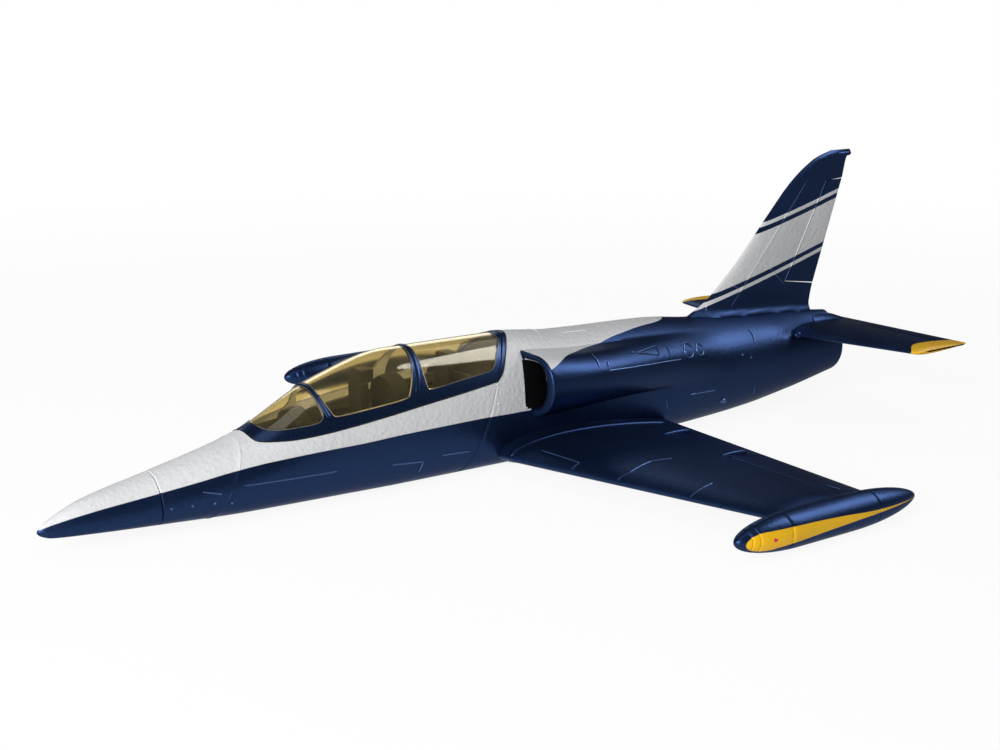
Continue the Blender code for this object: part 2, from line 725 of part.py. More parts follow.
def make_rear_half(name, side):
    """One moulded half of the rear fuselage, with its duct, fan seat and wing stub."""
    bm = loft_bm(full_rear_rings())
    slice_off(bm, (seam_x(0.0) + CLEARANCE / 2, 0.0, 0.0), (-1.0, 0.0, SEAM_LEAN))
    slice_off(bm, (0.0, 0.0, BELLY_Z), (0.0, 0.0, -1.0))
    slice_off(bm, (0.0, side * CLEARANCE / 2, 0.0), (0.0, -side, 0.0))
    half = new_object(name, mesh_from(bm, name))
    combine(half, make_wing_stub(name + "_stub", side), "UNION")
    mouth = [(LIP_X - OVERCUT, y, z) for _, y, z in duct_ring(LIP_X, side)]
    duct_xs = [*np.linspace(LIP_X, DUCT_MERGE_X, DUCT_RINGS), FAN_FACE_X + FLANGE_LENGTH / 2]
    cut(half, loft(name + "_duct", [mouth] + [duct_ring(x, side) for x in duct_xs]))
    cut(half, turned(name + "_fan_seat", fan_seat_profile(), on_thrust_line, 32))
    cut(half, turned(name + "_pipe_bore", pipe_bore_profile(), on_thrust_line, 32))
    cut(half, rear_bay(name + "_bay"))
    cut(half, side_plate(name + "_hatch_cut", hatch_outline(), CUT_HALF_WIDTH))
    cut(half, spar_rod(name + "_spar_bore", SPAR_RADIUS + CLEARANCE, SPAR_HALF_SPAN))
    cut(half, tongue(name + "_tongue_slot", side, CLEARANCE), screw(name + "_screw_bore", side, CLEARANCE))
    cut(half, magnet(name + "_magnet_pocket", True, CLEARANCE))
    return finish(half, BLUE)


def rear_bay_end():
    """The rear bay stops a wall ahead of the wing spar."""
    return SPAR_X - REAR_BAY_SPAR_GAP


def rear_bay(name):
    """The hollow between the ducts, open forward into the equipment bay."""
    low = (seam_x(BELLY_Z) - OVERCUT, -REAR_BAY_HALF_WIDTH, REAR_BAY_FLOOR_Z)
    high = (rear_bay_end(), REAR_BAY_HALF_WIDTH, REAR_BAY_ROOF_Z)
    return block(name, low, high)


def fan_seat_profile():
    outer = FAN_BORE_RADIUS + SHROUD_WALL + CLEARANCE
    flange = outer + FLANGE_WIDTH
    rear = FAN_FACE_X + FAN_LENGTH + PIPE_SETBACK / 2
    step = FAN_FACE_X + FLANGE_LENGTH + CLEARANCE
    front = FAN_FACE_X - CLEARANCE
    return ((front, flange), (step, flange), (step, outer), (rear, outer))


def pipe_radius(x):
    """Outer radius of the tail pipe at x."""
    front = FAN_FACE_X + FAN_LENGTH + PIPE_SETBACK
    share = (x - front) / (TAIL_X - front)
    return PIPE_FRONT_RADIUS + (PIPE_REAR_RADIUS - PIPE_FRONT_RADIUS) * share


def pipe_bore_profile():
    front = FAN_FACE_X + FAN_LENGTH
    rear = TAIL_X + OVERCUT
    return ((front, pipe_radius(front) + CLEARANCE), (rear, pipe_radius(rear) + CLEARANCE))


# Canopy hatch and cockpit


def hatch_loft(name, inset, overrun=0.0):
    """The fuselage's outside over the length of the hatch, drawn in by an inset."""
    first = HATCH_EDGE[0][0] - CLEARANCE - overrun
    return front_loft(name, first, FRONT_RINGS_X[-1] + overrun, inset)


def make_canopy_frame():
    """The hatch: a thin shell with its three window openings and a solid front tip."""
    frame = hatch_loft("canopy_frame", 0.0)
    shift_origin(frame, HATCH_PIVOT)
    limit = side_plate("hatch_limit", hatch_outline(-CLEARANCE), CUT_HALF_WIDTH)
    combine(frame, limit, "INTERSECT")
    cut(frame, make_hatch_hollow())
    for label, outline in reversed(WINDOWS):
        cut(frame, side_plate(label + "_opening", outline, CUT_HALF_WIDTH))
    cut(frame, magnet("hatch_magnet_pocket", False, CLEARANCE))
    return finish(frame, BLUE)


def make_hatch_hollow():
    """The room inside the hatch, from its solid tip to the bulkhead under the rear arch."""
    front = HATCH_EDGE[0][0] + HATCH_TIP_LENGTH
    hollow = front_loft("hatch_inside", front, FRONT_RINGS_X[-1], HATCH_WALL)
    bulkhead = [(x - HATCH_BULKHEAD, z) for x, z in (HATCH_RAIL[-1], *HATCH_ARCH)]
    start = front - OVERCUT
    outline = [(start, BELLY_Z), (bulkhead[0][0], BELLY_Z), *bulkhead]
    outline += [(bulkhead[-1][0], HATCH_TOP_Z), (start, HATCH_TOP_Z)]
    return combine(hollow, side_plate("hatch_inside_limit", outline, CUT_HALF_WIDTH), "INTERSECT")


def make_pane(name, outline):
    """One blown pane, set a little below the frame's outside and clear of its edge."""
    pane = hatch_loft(name, GLASS_SETBACK)
    shift_origin(pane, HATCH_PIVOT)
    limit = side_plate(name + "_limit", offset_outline(outline, -CLEARANCE), CUT_HALF_WIDTH)
    combine(pane, limit, "INTERSECT")
    inside = hatch_loft(name + "_inside", GLASS_SETBACK + GLASS_THICKNESS, 1.0)
    return finish(cut(pane, inside), AMBER)


def shift_origin(obj, origin):
    """Puts the object's own origin at a point without moving its shape."""
    step = Vector(origin) * MM - obj.location
    for vertex in obj.data.vertices:
        vertex.co -= step
    obj.location += step


def tub_section(x, hollow):
    """The tub's section at x: a trough hung by its flange, or the hollow inside it."""
    rail = rail_z(x)
    side = half_width_at(x, rail, FOAM_WALL) - TUB_SIDE_GAP
    top = rail + TUB_FLANGE
    floor = rail - TUB_DEPTH
    if hollow:
        inner = side - TUB_WALL
        half = [(inner, top + OVERCUT), (inner, floor + TUB_FLOOR)]
    else:
        flange = half_width_at(x, top, HATCH_WALL) - 2 * CLEARANCE
        ledge = rail + CLEARANCE
        half = [(flange, top), (flange, ledge), (side, ledge), (side, floor)]
    return [(x, y, z) for y, z in half] + [(x, -y, z) for y, z in half[::-1]]


def make_cockpit_tub():
    """The tray under the glass, hung from the hatch by its flange."""
    xs = np.linspace(TUB_FRONT_X, TUB_REAR_X, TUB_RINGS)
    tub = loft("cockpit_tub", [tub_section(x, False) for x in xs], HATCH_PIVOT)
    inner_xs = (TUB_FRONT_X + TUB_WALL, *xs[1:-1], TUB_REAR_X - TUB_WALL)
    hollow = loft("tub_hollow", [tub_section(x, True) for x in inner_xs])
    return finish(cut(tub, hollow), GREY)


def tub_floor_z(x):
    return rail_z(x) - TUB_DEPTH + TUB_FLOOR + CLEARANCE


def make_instrument_panel(name, x, half_width, top):
    """A panel with a rounded hood line, leaning aft on the tub's floor."""
    base = tub_floor_z(x)
    shoulder = base + (top - base) * PANEL_SHOULDER_SHARE
    foot = half_width * PANEL_FOOT_SHARE
    outline = [(-foot, base), (foot, base)]
    for i in range(9):
        turn = math.pi * i / 8
        outline.append((half_width * math.cos(turn), shoulder + (top - shoulder) * math.sin(turn)))

    def place(y, z, face):
        return face + PANEL_THICKNESS * (z - base) / (top - base), y, z

    faces = (x - PANEL_THICKNESS, x)
    return finish(extrude_outline(name, outline, faces, place, HATCH_PIVOT), BLACK)


def make_seat(name, x, headroom):
    """An ejection-seat shape in side view: cushion, back and head box."""
    top = station(x)[0] - headroom
    front = x - SEAT_DEPTH
    back = x + SEAT_BACK_THICKNESS
    cushion = tub_floor_z(x) + SEAT_CUSHION_HEIGHT
    head = top - HEAD_BOX_HEIGHT
    outline = (
        (front, tub_floor_z(front)),
        (back, tub_floor_z(back)),
        (back + SEAT_LEAN, top),
        (x + SEAT_LEAN - HEAD_BOX_REACH, top),
        (x + SEAT_LEAN - HEAD_BOX_REACH, head),
        (x + SEAT_LEAN / 2, head),
        (x, cushion),
        (front, cushion),
    )
    seat = side_plate(name, outline, SEAT_HALF_WIDTH)
    shift_origin(seat, HATCH_PIVOT)
    return finish(seat, BLACK)


def arch_joint():
    """The magnets' place on the hatch's rear arch, and the directions across and along it."""
    low, high = (Vector((x, 0.0, z)) for x, z in HATCH_ARCH[:2])
    along = (high - low).normalized()
    across = along.cross(Vector((0.0, 1.0, 0.0))) * -1
    return low.lerp(high, MAGNET_ARCH_SHARE), across, along


def magnet(name, in_body, grow=0.0):
    """A disc magnet flush with one side of the hatch's rear joint; with grow, its pocket."""
    middle, across, along = arch_joint()
    mouth = OVERCUT if grow else 0.0
    if in_body:
        ends = (-mouth, MAGNET_THICKNESS + grow)
    else:
        ends = (-CLEARANCE - MAGNET_THICKNESS - grow, mouth - CLEARANCE)
    profile = [(end, MAGNET_RADIUS + grow) for end in ends]
    sideways = Vector((0.0, 1.0, 0.0))
    return turned(name, profile, lambda a, c, s: tuple(middle + across * a + along * c + sideways * s), 20)


# Fan unit


def make_fan_shroud():
    """The fan housing: bell flange, bore, and stator vanes that hold the motor tube."""
    outer = FAN_BORE_RADIUS + SHROUD_WALL
    rear = FAN_FACE_X + FAN_LENGTH
    step = FAN_FACE_X + FLANGE_LENGTH
    profile = (
        (FAN_FACE_X, outer + FLANGE_WIDTH),
        (step, outer + FLANGE_WIDTH),
        (step, outer),
        (rear, outer),
    )
    shroud = turned("fan_shroud", profile, on_thrust_line, 32)
    bore = ((FAN_FACE_X - OVERCUT, FAN_BORE_RADIUS), (rear + OVERCUT, FAN_BORE_RADIUS))
    cut(shroud, turned("shroud_bore", bore, on_thrust_line, 32))
    hub_front = motor_front_x()
    hub_outer = MOTOR_RADIUS + CLEARANCE + STATOR_HUB_WALL
    hub = turned("stator_hub", ((hub_front, hub_outer), (rear, hub_outer)), on_thrust_line, 24)
    for i in range(STATOR_COUNT):
        combine(hub, make_vane(i), "UNION")
    seat = MOTOR_RADIUS + CLEARANCE
    hollow = ((hub_front + STATOR_HUB_WALL, seat), (rear + OVERCUT, seat))
    cut(hub, turned("motor_seat", hollow, on_thrust_line, 24))
    hole = MOTOR_SHAFT_RADIUS + SHAFT_HOLE_GAP
    shaft_hole = ((hub_front - OVERCUT, hole), (hub_front + OVERCUT, hole))
    cut(hub, turned("shaft_hole", shaft_hole, on_thrust_line, 16))
    combine(shroud, hub, "UNION")
    return finish(shroud, BLACK)


def motor_front_x():
    return FAN_FACE_X + ROTOR_SETBACK + ROTOR_HUB_LENGTH + MOTOR_GAP


def make_vane(i):
    """A radial stator blade from the motor tube into the shroud wall."""
    rear = FAN_FACE_X + FAN_LENGTH - STATOR_SETBACK
    low = MOTOR_RADIUS + CLEARANCE + STATOR_HUB_WALL / 2
    high = FAN_BORE_RADIUS + SHROUD_WALL / 2
    half = STATOR_THICKNESS / 2
    turn = 2 * math.pi * i / STATOR_COUNT + math.pi / 2

    def place(a, across, out):
        y = out * math.cos(turn) - across * math.sin(turn)
        z = out * math.sin(turn) + across * math.cos(turn)
        return a, y, THRUST_Z + z

    outline = ((rear - STATOR_CHORD, -half), (rear, -half), (rear, half), (rear - STATOR_CHORD, half))
    return extrude_outline(f"stator_vane_{i}", outline, (low, high), place)


def make_fan_rotor():
    """The rotor: a hub on the motor shaft and its ring of twisted blades."""
    front = FAN_FACE_X + ROTOR_SETBACK
    rear = front + ROTOR_HUB_LENGTH
    profile = ((front, ROTOR_HUB_RADIUS), (rear, ROTOR_HUB_RADIUS))
    origin = (front, 0.0, THRUST_Z)
    rotor = turned("fan_rotor", profile, on_thrust_line, 30, origin)
    middle = (front + rear) / 2
    span = ROTOR_HUB_LENGTH - 2 * BLADE_EDGE_GAP
    for i in range(BLADE_COUNT):
        combine(rotor, make_blade(i, middle, span), "UNION")
    grip = MOTOR_SHAFT_RADIUS + CLEARANCE
    bore = ((front - OVERCUT, grip), (rear + OVERCUT, grip))
    cut(rotor, turned("rotor_bore", bore, on_thrust_line, 16))
    return finish(rotor, BLACK)


def make_blade(i, middle, span):
    """One fan blade: a flat aerofoil set at an angle that washes out towards the tip."""
    turn = 2 * math.pi * i / BLADE_COUNT
    rings = []
    root = ROTOR_HUB_RADIUS - BLADE_ROOT_SINK
    tip = FAN_BORE_RADIUS - BLADE_TIP_GAP
    for radius, twist in ((root, 0.0), (tip, BLADE_WASHOUT)):
        angle = math.radians(BLADE_ANGLE + twist)
        half_chord = span / 2 / math.cos(math.radians(BLADE_ANGLE))
        half = BLADE_THICKNESS / 2
        ring = []
        for along, across in ((-half_chord, 0.0), (0.0, half), (half_chord, 0.0), (0.0, -half)):
            a = along * math.cos(angle) - across * math.sin(angle)
            t = along * math.sin(angle) + across * math.cos(angle)
            y = radius * math.cos(turn) - t * math.sin(turn)
            z = radius * math.sin(turn) + t * math.cos(turn)
            ring.append((middle + a, y, THRUST_Z + z))
        rings.append(ring)
    return loft(f"fan_blade_{i}", rings)


def make_spinner():
    rear = FAN_FACE_X + ROTOR_SETBACK - CLEARANCE
    profile = []
    for i in range(6):
        share = i / 5
        radius = ROTOR_HUB_RADIUS * math.sqrt(share)
        profile.append((rear - SPINNER_LENGTH * (1 - share), radius))
    return finish(turned("spinner", profile, on_thrust_line, 24, (rear, 0.0, THRUST_Z)), STEEL)


def make_motor():
    front = motor_front_x() + STATOR_HUB_WALL + CLEARANCE
    tip = FAN_FACE_X + ROTOR_SETBACK + CLEARANCE
    rear = front + MOTOR_LENGTH
    profile = (
        (tip, MOTOR_SHAFT_RADIUS),
        (front, MOTOR_SHAFT_RADIUS),
        (front, MOTOR_RADIUS),
        (rear, MOTOR_RADIUS),
    )
    return finish(turned("motor", profile, on_thrust_line, 24), STEEL)


def make_tail_pipe():
    """The tapered tube from the fan to the tail end."""
    front = FAN_FACE_X + FAN_LENGTH + PIPE_SETBACK
    rear = TAIL_X - PIPE_SETBACK
    outer = ((front, pipe_radius(front)), (rear, pipe_radius(rear)))
    inner = (
        (front - OVERCUT, pipe_radius(front - OVERCUT) - PIPE_WALL),
        (rear + OVERCUT, pipe_radius(rear + OVERCUT) - PIPE_WALL),
    )
    pipe = turned("tail_pipe", outer, on_thrust_line, 32)
    return finish(cut(pipe, turned("tail_pipe_bore", inner, on_thrust_line, 32)), GREY)


# Equipment


def bay_floor_z(x, y):
    """Height of the equipment bay's floor at a distance from the centre line."""
    _, keel, half, waist, square = station(x)
    out = abs(y) / (half - FOAM_WALL)
    return waist - (waist - keel - FOAM_WALL) * (1 - out**square) ** (1 / square)


def tray_z():
    """Underside of the tray, whose edges lie on the bay's rounded floor."""
    ends = (TRAY_FRONT_X, TRAY_FRONT_X + TRAY_LENGTH)
    return max(bay_floor_z(x, TRAY_HALF_WIDTH) for x in ends) + TRAY_FLOOR_GAP


def make_battery_tray():
    low = (TRAY_FRONT_X, -TRAY_HALF_WIDTH, tray_z())
    high = (TRAY_FRONT_X + TRAY_LENGTH, TRAY_HALF_WIDTH, tray_z() + TRAY_THICKNESS)
    return finish(block("battery_tray", low, high), PLYWOOD)


def tray_top():
    return tray_z() + TRAY_THICKNESS + CLEARANCE


def make_battery():
    low = (BATTERY_FRONT_X, -BATTERY_WIDTH / 2, tray_top())
    high = (BATTERY_FRONT_X + BATTERY_LENGTH, BATTERY_WIDTH / 2, tray_top() + BATTERY_HEIGHT)
    battery = block("battery", low, high)
    bevel = battery.modifiers.new("soft_edges", "BEVEL")
    bevel.width = BATTERY_EDGE * MM
    bevel.segments = 1
    return finish(battery, BLUE)


def make_battery_strap():
    """A hook-and-loop band over the battery, standing on the tray."""
    middle = BATTERY_FRONT_X + BATTERY_LENGTH / 2
    inner = BATTERY_WIDTH / 2 + CLEARANCE
    outer = inner + STRAP_THICKNESS
    top = tray_top() + BATTERY_HEIGHT + CLEARANCE
    outline = (
        (-outer, tray_top()),
        (-inner, tray_top()),
        (-inner, top),
        (inner, top),
        (inner, tray_top()),
        (outer, tray_top()),
        (outer, top + STRAP_THICKNESS),
        (-outer, top + STRAP_THICKNESS),
    )
    ends = (middle - STRAP_WIDTH / 2, middle + STRAP_WIDTH / 2)
    return finish(extrude_outline("battery_strap", outline, ends, lambda y, z, x: (x, y, z)), BLACK)


def make_receiver():
    length, width, height = RECEIVER_SIZE
    low = (RECEIVER_FRONT_X, -width / 2, tray_top())
    high = (RECEIVER_FRONT_X + length, width / 2, tray_top() + height)
    return finish(block("receiver", low, high), GREY)


def make_speed_controller():
    """The motor's speed controller, lying on the floor of the rear bay."""
    length, width, height = ESC_SIZE
    floor = REAR_BAY_FLOOR_Z + CLEARANCE
    rear = rear_bay_end() - ESC_END_GAP
    low = (rear - length, -width / 2, floor)
    high = (rear, width / 2, floor + height)
    return finish(block("speed_controller", low, high), BLUE)


# Wing


def wing_share(y):
    return (y - WING_ROOT_Y) / (WING_TIP_Y - WING_ROOT_Y)


def wing_chord(y):
    return WING_ROOT_CHORD + (WING_TIP_CHORD - WING_ROOT_CHORD) * wing_share(y)


def wing_front(y):
    return WING_ROOT_LE_X + (WING_TIP_LE_X - WING_ROOT_LE_X) * wing_share(y)


def wing_z(y):
    return WING_ROOT_Z + (WING_TIP_Z - WING_ROOT_Z) * wing_share(y)


def wing_ring(y, side, grow=0.0):
    """One wing section at a distance from the centre line; grow swells it all round."""
    front, chord, level = wing_front(y), wing_chord(y), wing_z(y)
    points = aerofoil(chord, WING_THICKNESS, WING_CAMBER)
    if grow:
        points = offset_outline(points, grow)
    return [(front + u, side * y, level + w) for u, w in points]


def make_wing_stub(name, side):
    """The faired wing root that belongs to the fuselage half."""
    stations = (
        (STUB_INNER_Y, STUB_FLARE),
        (WING_ROOT_Y - STUB_FLARE_SETBACK, STUB_FLARE),
        (WING_ROOT_Y - STUB_FAIR_SETBACK, STUB_FAIR),
        (WING_ROOT_Y, 0.0),
    )
    rings = []
    for y, grow in stations:
        rings.append([(x, side * y, z) for x, _, z in wing_ring(WING_ROOT_Y, side, grow)])
    return loft(name, rings)


def spar_rod(name, radius, half_span):
    profile = ((-half_span, radius), (half_span, radius))
    return turned(name, profile, lambda a, c, s: (SPAR_X + c, a, SPAR_Z + s), 20)


def make_spar():
    spar = spar_rod("wing_spar", SPAR_RADIUS, SPAR_HALF_SPAN)
    hollow = spar_rod("spar_hollow", SPAR_BORE_RADIUS, SPAR_HALF_SPAN + OVERCUT)
    return finish(cut(spar, hollow), CARBON)


def tongue(name, side, grow=0.0):
    """The root tongue that the wing screw holds; with grow, its slot in the stub."""
    inner = side * (WING_ROOT_Y - TONGUE_REACH - grow)
    outer = side * (WING_ROOT_Y + TONGUE_ROOT)
    half = TONGUE_THICKNESS / 2 + grow
    low = (TONGUE_FRONT_X - grow, min(inner, outer), WING_ROOT_Z - half)
    high = (TONGUE_FRONT_X + TONGUE_LENGTH + grow, max(inner, outer), WING_ROOT_Z + half)
    return block(name, low, high)


def screw(name, side, grow=0.0):
    """The screw that enters from below; with grow, its counterbored hole."""
    seat = WING_ROOT_Z - TONGUE_THICKNESS / 2 - SCREW_SEAT_WALL
    mouth = 2 * OVERCUT if grow else 0.0
    x = TONGUE_FRONT_X + TONGUE_LENGTH / 2
    y = side * (WING_ROOT_Y - TONGUE_REACH / 2)
    profile = (
        (seat - SCREW_HEAD_HEIGHT - mouth, SCREW_HEAD_RADIUS + grow),
        (seat, SCREW_HEAD_RADIUS + grow),
        (seat, SCREW_RADIUS + grow),
        (seat + SCREW_LENGTH + grow, SCREW_RADIUS + grow),
    )
    return turned(name, profile, lambda a, c, s: (x + c, y + s, a), 16)


def make_wing(name, side, link):
    """An outer wing panel with its aileron bay, servo pocket, spar bore and root tongue."""
    root = WING_ROOT_Y + CLEARANCE
    wing = loft(name, [wing_ring(root, side), wing_ring(WING_TIP_Y, side)])
    combine(wing, tongue(name + "_tongue", side), "UNION")
    aileron = aileron_hinge(side)
    low = WING_ROOT_Z - WING_ROOT_CHORD / 2
    high = WING_TIP_Z + WING_ROOT_CHORD / 2
    cut(wing, plan_plate(name + "_aileron_bay", bay_outline(aileron), low, high))
    cut(wing, spar_rod(name + "_spar_bore", SPAR_RADIUS + CLEARANCE, SPAR_HALF_SPAN + CLEARANCE))
    cut(wing, screw(name + "_screw_hole", side, CLEARANCE))
    cut(wing, *link.pockets(name))
    return finish(wing, BLUE)


def ogive(end_x, length, fullness, count=6):
    """Half of a tank's outline: (x, radius) pairs from its end to where it reaches full size."""
    pairs = []
    for i in range(count + 1):
        share = (i / count) ** OGIVE_CROWDING
        pairs.append((end_x + length * share, TANK_RADIUS * (1 - (1 - share) ** 2) ** fullness))
    return pairs


def make_tip_tank(name, side):
    """The tip tank: a blunt nose, a short barrel and a longer tail, pocketed for the wing tip."""
    nose = ogive(TANK_NOSE_X, TANK_NOSE_LENGTH, TANK_NOSE_FULLNESS)
    tail = ogive(TANK_TAIL_X, -TANK_TAIL_LENGTH, TANK_TAIL_FULLNESS)
    profile = nose + tail[::-1]
    tank = turned(name, profile, lambda a, c, s: (a, side * TANK_Y + c, TANK_Z + s), TANK_SIDES)
    inner_y = WING_TIP_Y - 2 * TANK_RADIUS
    pocket = [wing_ring(y, side, CLEARANCE) for y in (inner_y, WING_TIP_Y + CLEARANCE)]
    return finish(cut(tank, loft(name + "_pocket", pocket)), BLUE)


# Control surfaces


class Hinge:
    """A control surface's hinge line and trailing edge, each by its two ends, and its nose radii."""

    def __init__(self, start, end, trail_start, trail_end, radii, normal):
        self.start, self.end = Vector(start), Vector(end)
        self.trail_start, self.trail_end = Vector(trail_start), Vector(trail_end)
        self.radii = radii
        self.normal = Vector(normal)
        self.axis = (self.end - self.start).normalized()

    def ring(self, hinge, trail, radius):
        """A section: a round nose about the hinge, then straight to the trailing edge."""
        aft = (trail - hinge).normalized()
        points = []
        for i in range(7):
            turn = math.pi / 2 + math.pi * i / 6
            points.append(hinge + radius * (math.cos(turn) * aft + math.sin(turn) * self.normal))
        points.append(trail - TRAILING_HALF * self.normal)
        points.append(trail + TRAILING_HALF * self.normal)
        return [tuple(point) for point in points]

    def solid(self, name, origin=None):
        rings = [
            self.ring(self.start, self.trail_start, self.radii[0]),
            self.ring(self.end, self.trail_end, self.radii[1]),
        ]
        return loft(name, rings, tuple(origin or self.start))

    def bay(self):
        """Four corners of the room that the surface swings in, past the trailing edge."""
        out_start = (self.trail_start - self.start).normalized()
        out_end = (self.trail_end - self.end).normalized()
        gap = self.axis * END_GAP
        return (
            self.start - gap - out_start * (self.radii[0] + NOSE_GAP),
            self.end + gap - out_end * (self.radii[1] + NOSE_GAP),
            self.trail_end + gap + out_end * OVERCUT,
            self.trail_start - gap + out_start * OVERCUT,
        )


def bay_outline(hinge):
    return [(point.x, point.y) for point in hinge.bay()]


def thickness_at(chord, thickness, share):
    """Half thickness of an aerofoil at a share of its chord."""
    half = 5 * thickness * (
        0.2969 * math.sqrt(share) - 0.126 * share - 0.3516 * share**2 + 0.2843 * share**3 - 0.1036 * share**4
    )
    return half * chord + TRAILING_HALF * share


def aileron_hinge(side):
    ends = []
    for y in (AILERON_INNER_Y, AILERON_OUTER_Y):
        chord = wing_chord(y)
        mean = 4 * WING_CAMBER * chord * AILERON_HINGE_SHARE * (1 - AILERON_HINGE_SHARE)
        hinge = (wing_front(y) + AILERON_HINGE_SHARE * chord, side * y, wing_z(y) + mean)
        trail = (wing_front(y) + chord, side * y, wing_z(y))
        ends.append((hinge, trail, thickness_at(chord, WING_THICKNESS, AILERON_HINGE_SHARE)))
    (h0, t0, r0), (h1, t1, r1) = ends
    return Hinge(h0, h1, t0, t1, (r0, r1), (0, 0, 1))


def stab_share(y):
    return y / STAB_TIP_Y


def stab_front(y):
    return STAB_ROOT_LE_X + (STAB_TIP_LE_X - STAB_ROOT_LE_X) * stab_share(y)


def stab_rear(y):
    return STAB_ROOT_TE_X + (STAB_TIP_TE_X - STAB_ROOT_TE_X) * stab_share(y)


def elevator_hinge(side):
    ends = []
    for y in (ELEVATOR_INNER_Y, ELEVATOR_OUTER_Y):
        chord = stab_rear(y) - stab_front(y)
        share = (ELEVATOR_HINGE_X - stab_front(y)) / chord
        hinge = (ELEVATOR_HINGE_X, side * y, STAB_Z)
        trail = (stab_rear(y), side * y, STAB_Z)
        ends.append((hinge, trail, thickness_at(chord, STAB_THICKNESS, share)))
    (h0, t0, r0), (h1, t1, r1) = ends
    return Hinge(h0, h1, t0, t1, (r0, r1), (0, 0, 1))


def fin_row(z):
    """Leading edge, trailing edge and thickness of the fin at a height."""
    levels = [row[0] for row in FIN_LEVELS]
    return [float(np.interp(z, levels, [row[k] for row in FIN_LEVELS])) for k in (1, 2, 3)]


def rudder_hinge():
    ends = []
    rows = (
        (RUDDER_LOW_Z, RUDDER_LOW_CHORD, -RUDDER_TRAIL_DROP),
        (RUDDER_HIGH_Z, RUDDER_HIGH_CHORD, RUDDER_TRAIL_RISE),
    )
    for z, chord, trail_step in rows:
        front, rear, thick = fin_row(z)
        fin_chord = rear - front
        radius = thickness_at(fin_chord, thick / fin_chord, 1 - chord / fin_chord)
        trail_z = z + trail_step
        ends.append(((rear - chord, 0, z), (fin_row(trail_z)[1], 0, trail_z), radius))
    (h0, t0, r0), (h1, t1, r1) = ends
    return Hinge(h0, h1, t0, t1, (r0, r1), (0, 1, 0))


# Tail


def body_grown(name):
    """The outside of the rear fuselage with a clearance, for trimming what sits on it."""
    return loft(name, full_rear_rings(CLEARANCE))


def stab_ring(y, side):
    front, rear = stab_front(y), stab_rear(y)
    points = aerofoil(rear - front, STAB_THICKNESS)
    return [(front + u, side * y, STAB_Z + w) for u, w in points]


def make_stabiliser(name, side, link):
    """A tailplane half, trimmed to the fuselage, with its elevator bay and joiner bore."""
    rounded = STAB_TIP_LE_X + STAB_TIP_ROUND_LENGTH
    tip = []
    for x, y, z in stab_ring(STAB_TIP_Y, side):
        tip.append((x + STAB_TIP_ROUND_X if x < rounded else x, y, z))
    shoulder = stab_ring(STAB_TIP_Y - STAB_TIP_ROUND_Y, side)
    stab = loft(name, [stab_ring(STAB_CENTRE_GAP, side), shoulder, tip])
    cut(stab, body_grown(name + "_trim"))
    bay = bay_outline(elevator_hinge(side))
    cut(stab, plan_plate(name + "_elevator_bay", bay, STAB_Z - CUT_HALF_WIDTH, STAB_Z + CUT_HALF_WIDTH))
    cut(stab, joiner_rod(name + "_joiner_bore", JOINER_RADIUS + 2 * CLEARANCE))
    if link:
        cut(stab, *link.pockets(name))
    return finish(stab, BLUE)


def joiner_rod(name, radius, end_gap=0.0):
    half_span = ELEVATOR_INNER_Y + JOINER_GRIP + end_gap
    profile = ((-half_span, radius), (half_span, radius))
    origin = (ELEVATOR_HINGE_X, 0.0, STAB_Z)
    return turned(name, profile, lambda a, c, s: (ELEVATOR_HINGE_X + c, a, STAB_Z + s), 12, origin)


def make_elevator(name, side):
    hinge = elevator_hinge(side)
    elevator = hinge.solid(name, (ELEVATOR_HINGE_X, 0.0, STAB_Z))
    cut(elevator, joiner_rod(name + "_joiner_hole", JOINER_RADIUS + CLEARANCE, CLEARANCE))
    return finish(elevator, BLUE)


def make_fin(link):
    """The fin, seated on the spine, with the rudder bay and the servo pocket cut out."""
    rings = []
    for z, front, rear, thick in FIN_LEVELS:
        chord = rear - front
        rings.append([(front + u, w, z) for u, w in aerofoil(chord, thick / chord)])
    fin = loft("fin", rings)
    cut(fin, body_grown("fin_trim"))
    outline = [(point.x, point.z) for point in rudder_hinge().bay()]
    cut(fin, side_plate("rudder_bay", outline, CUT_HALF_WIDTH), *link.pockets("fin"))
    return finish(fin, BLUE)


# Servo linkages


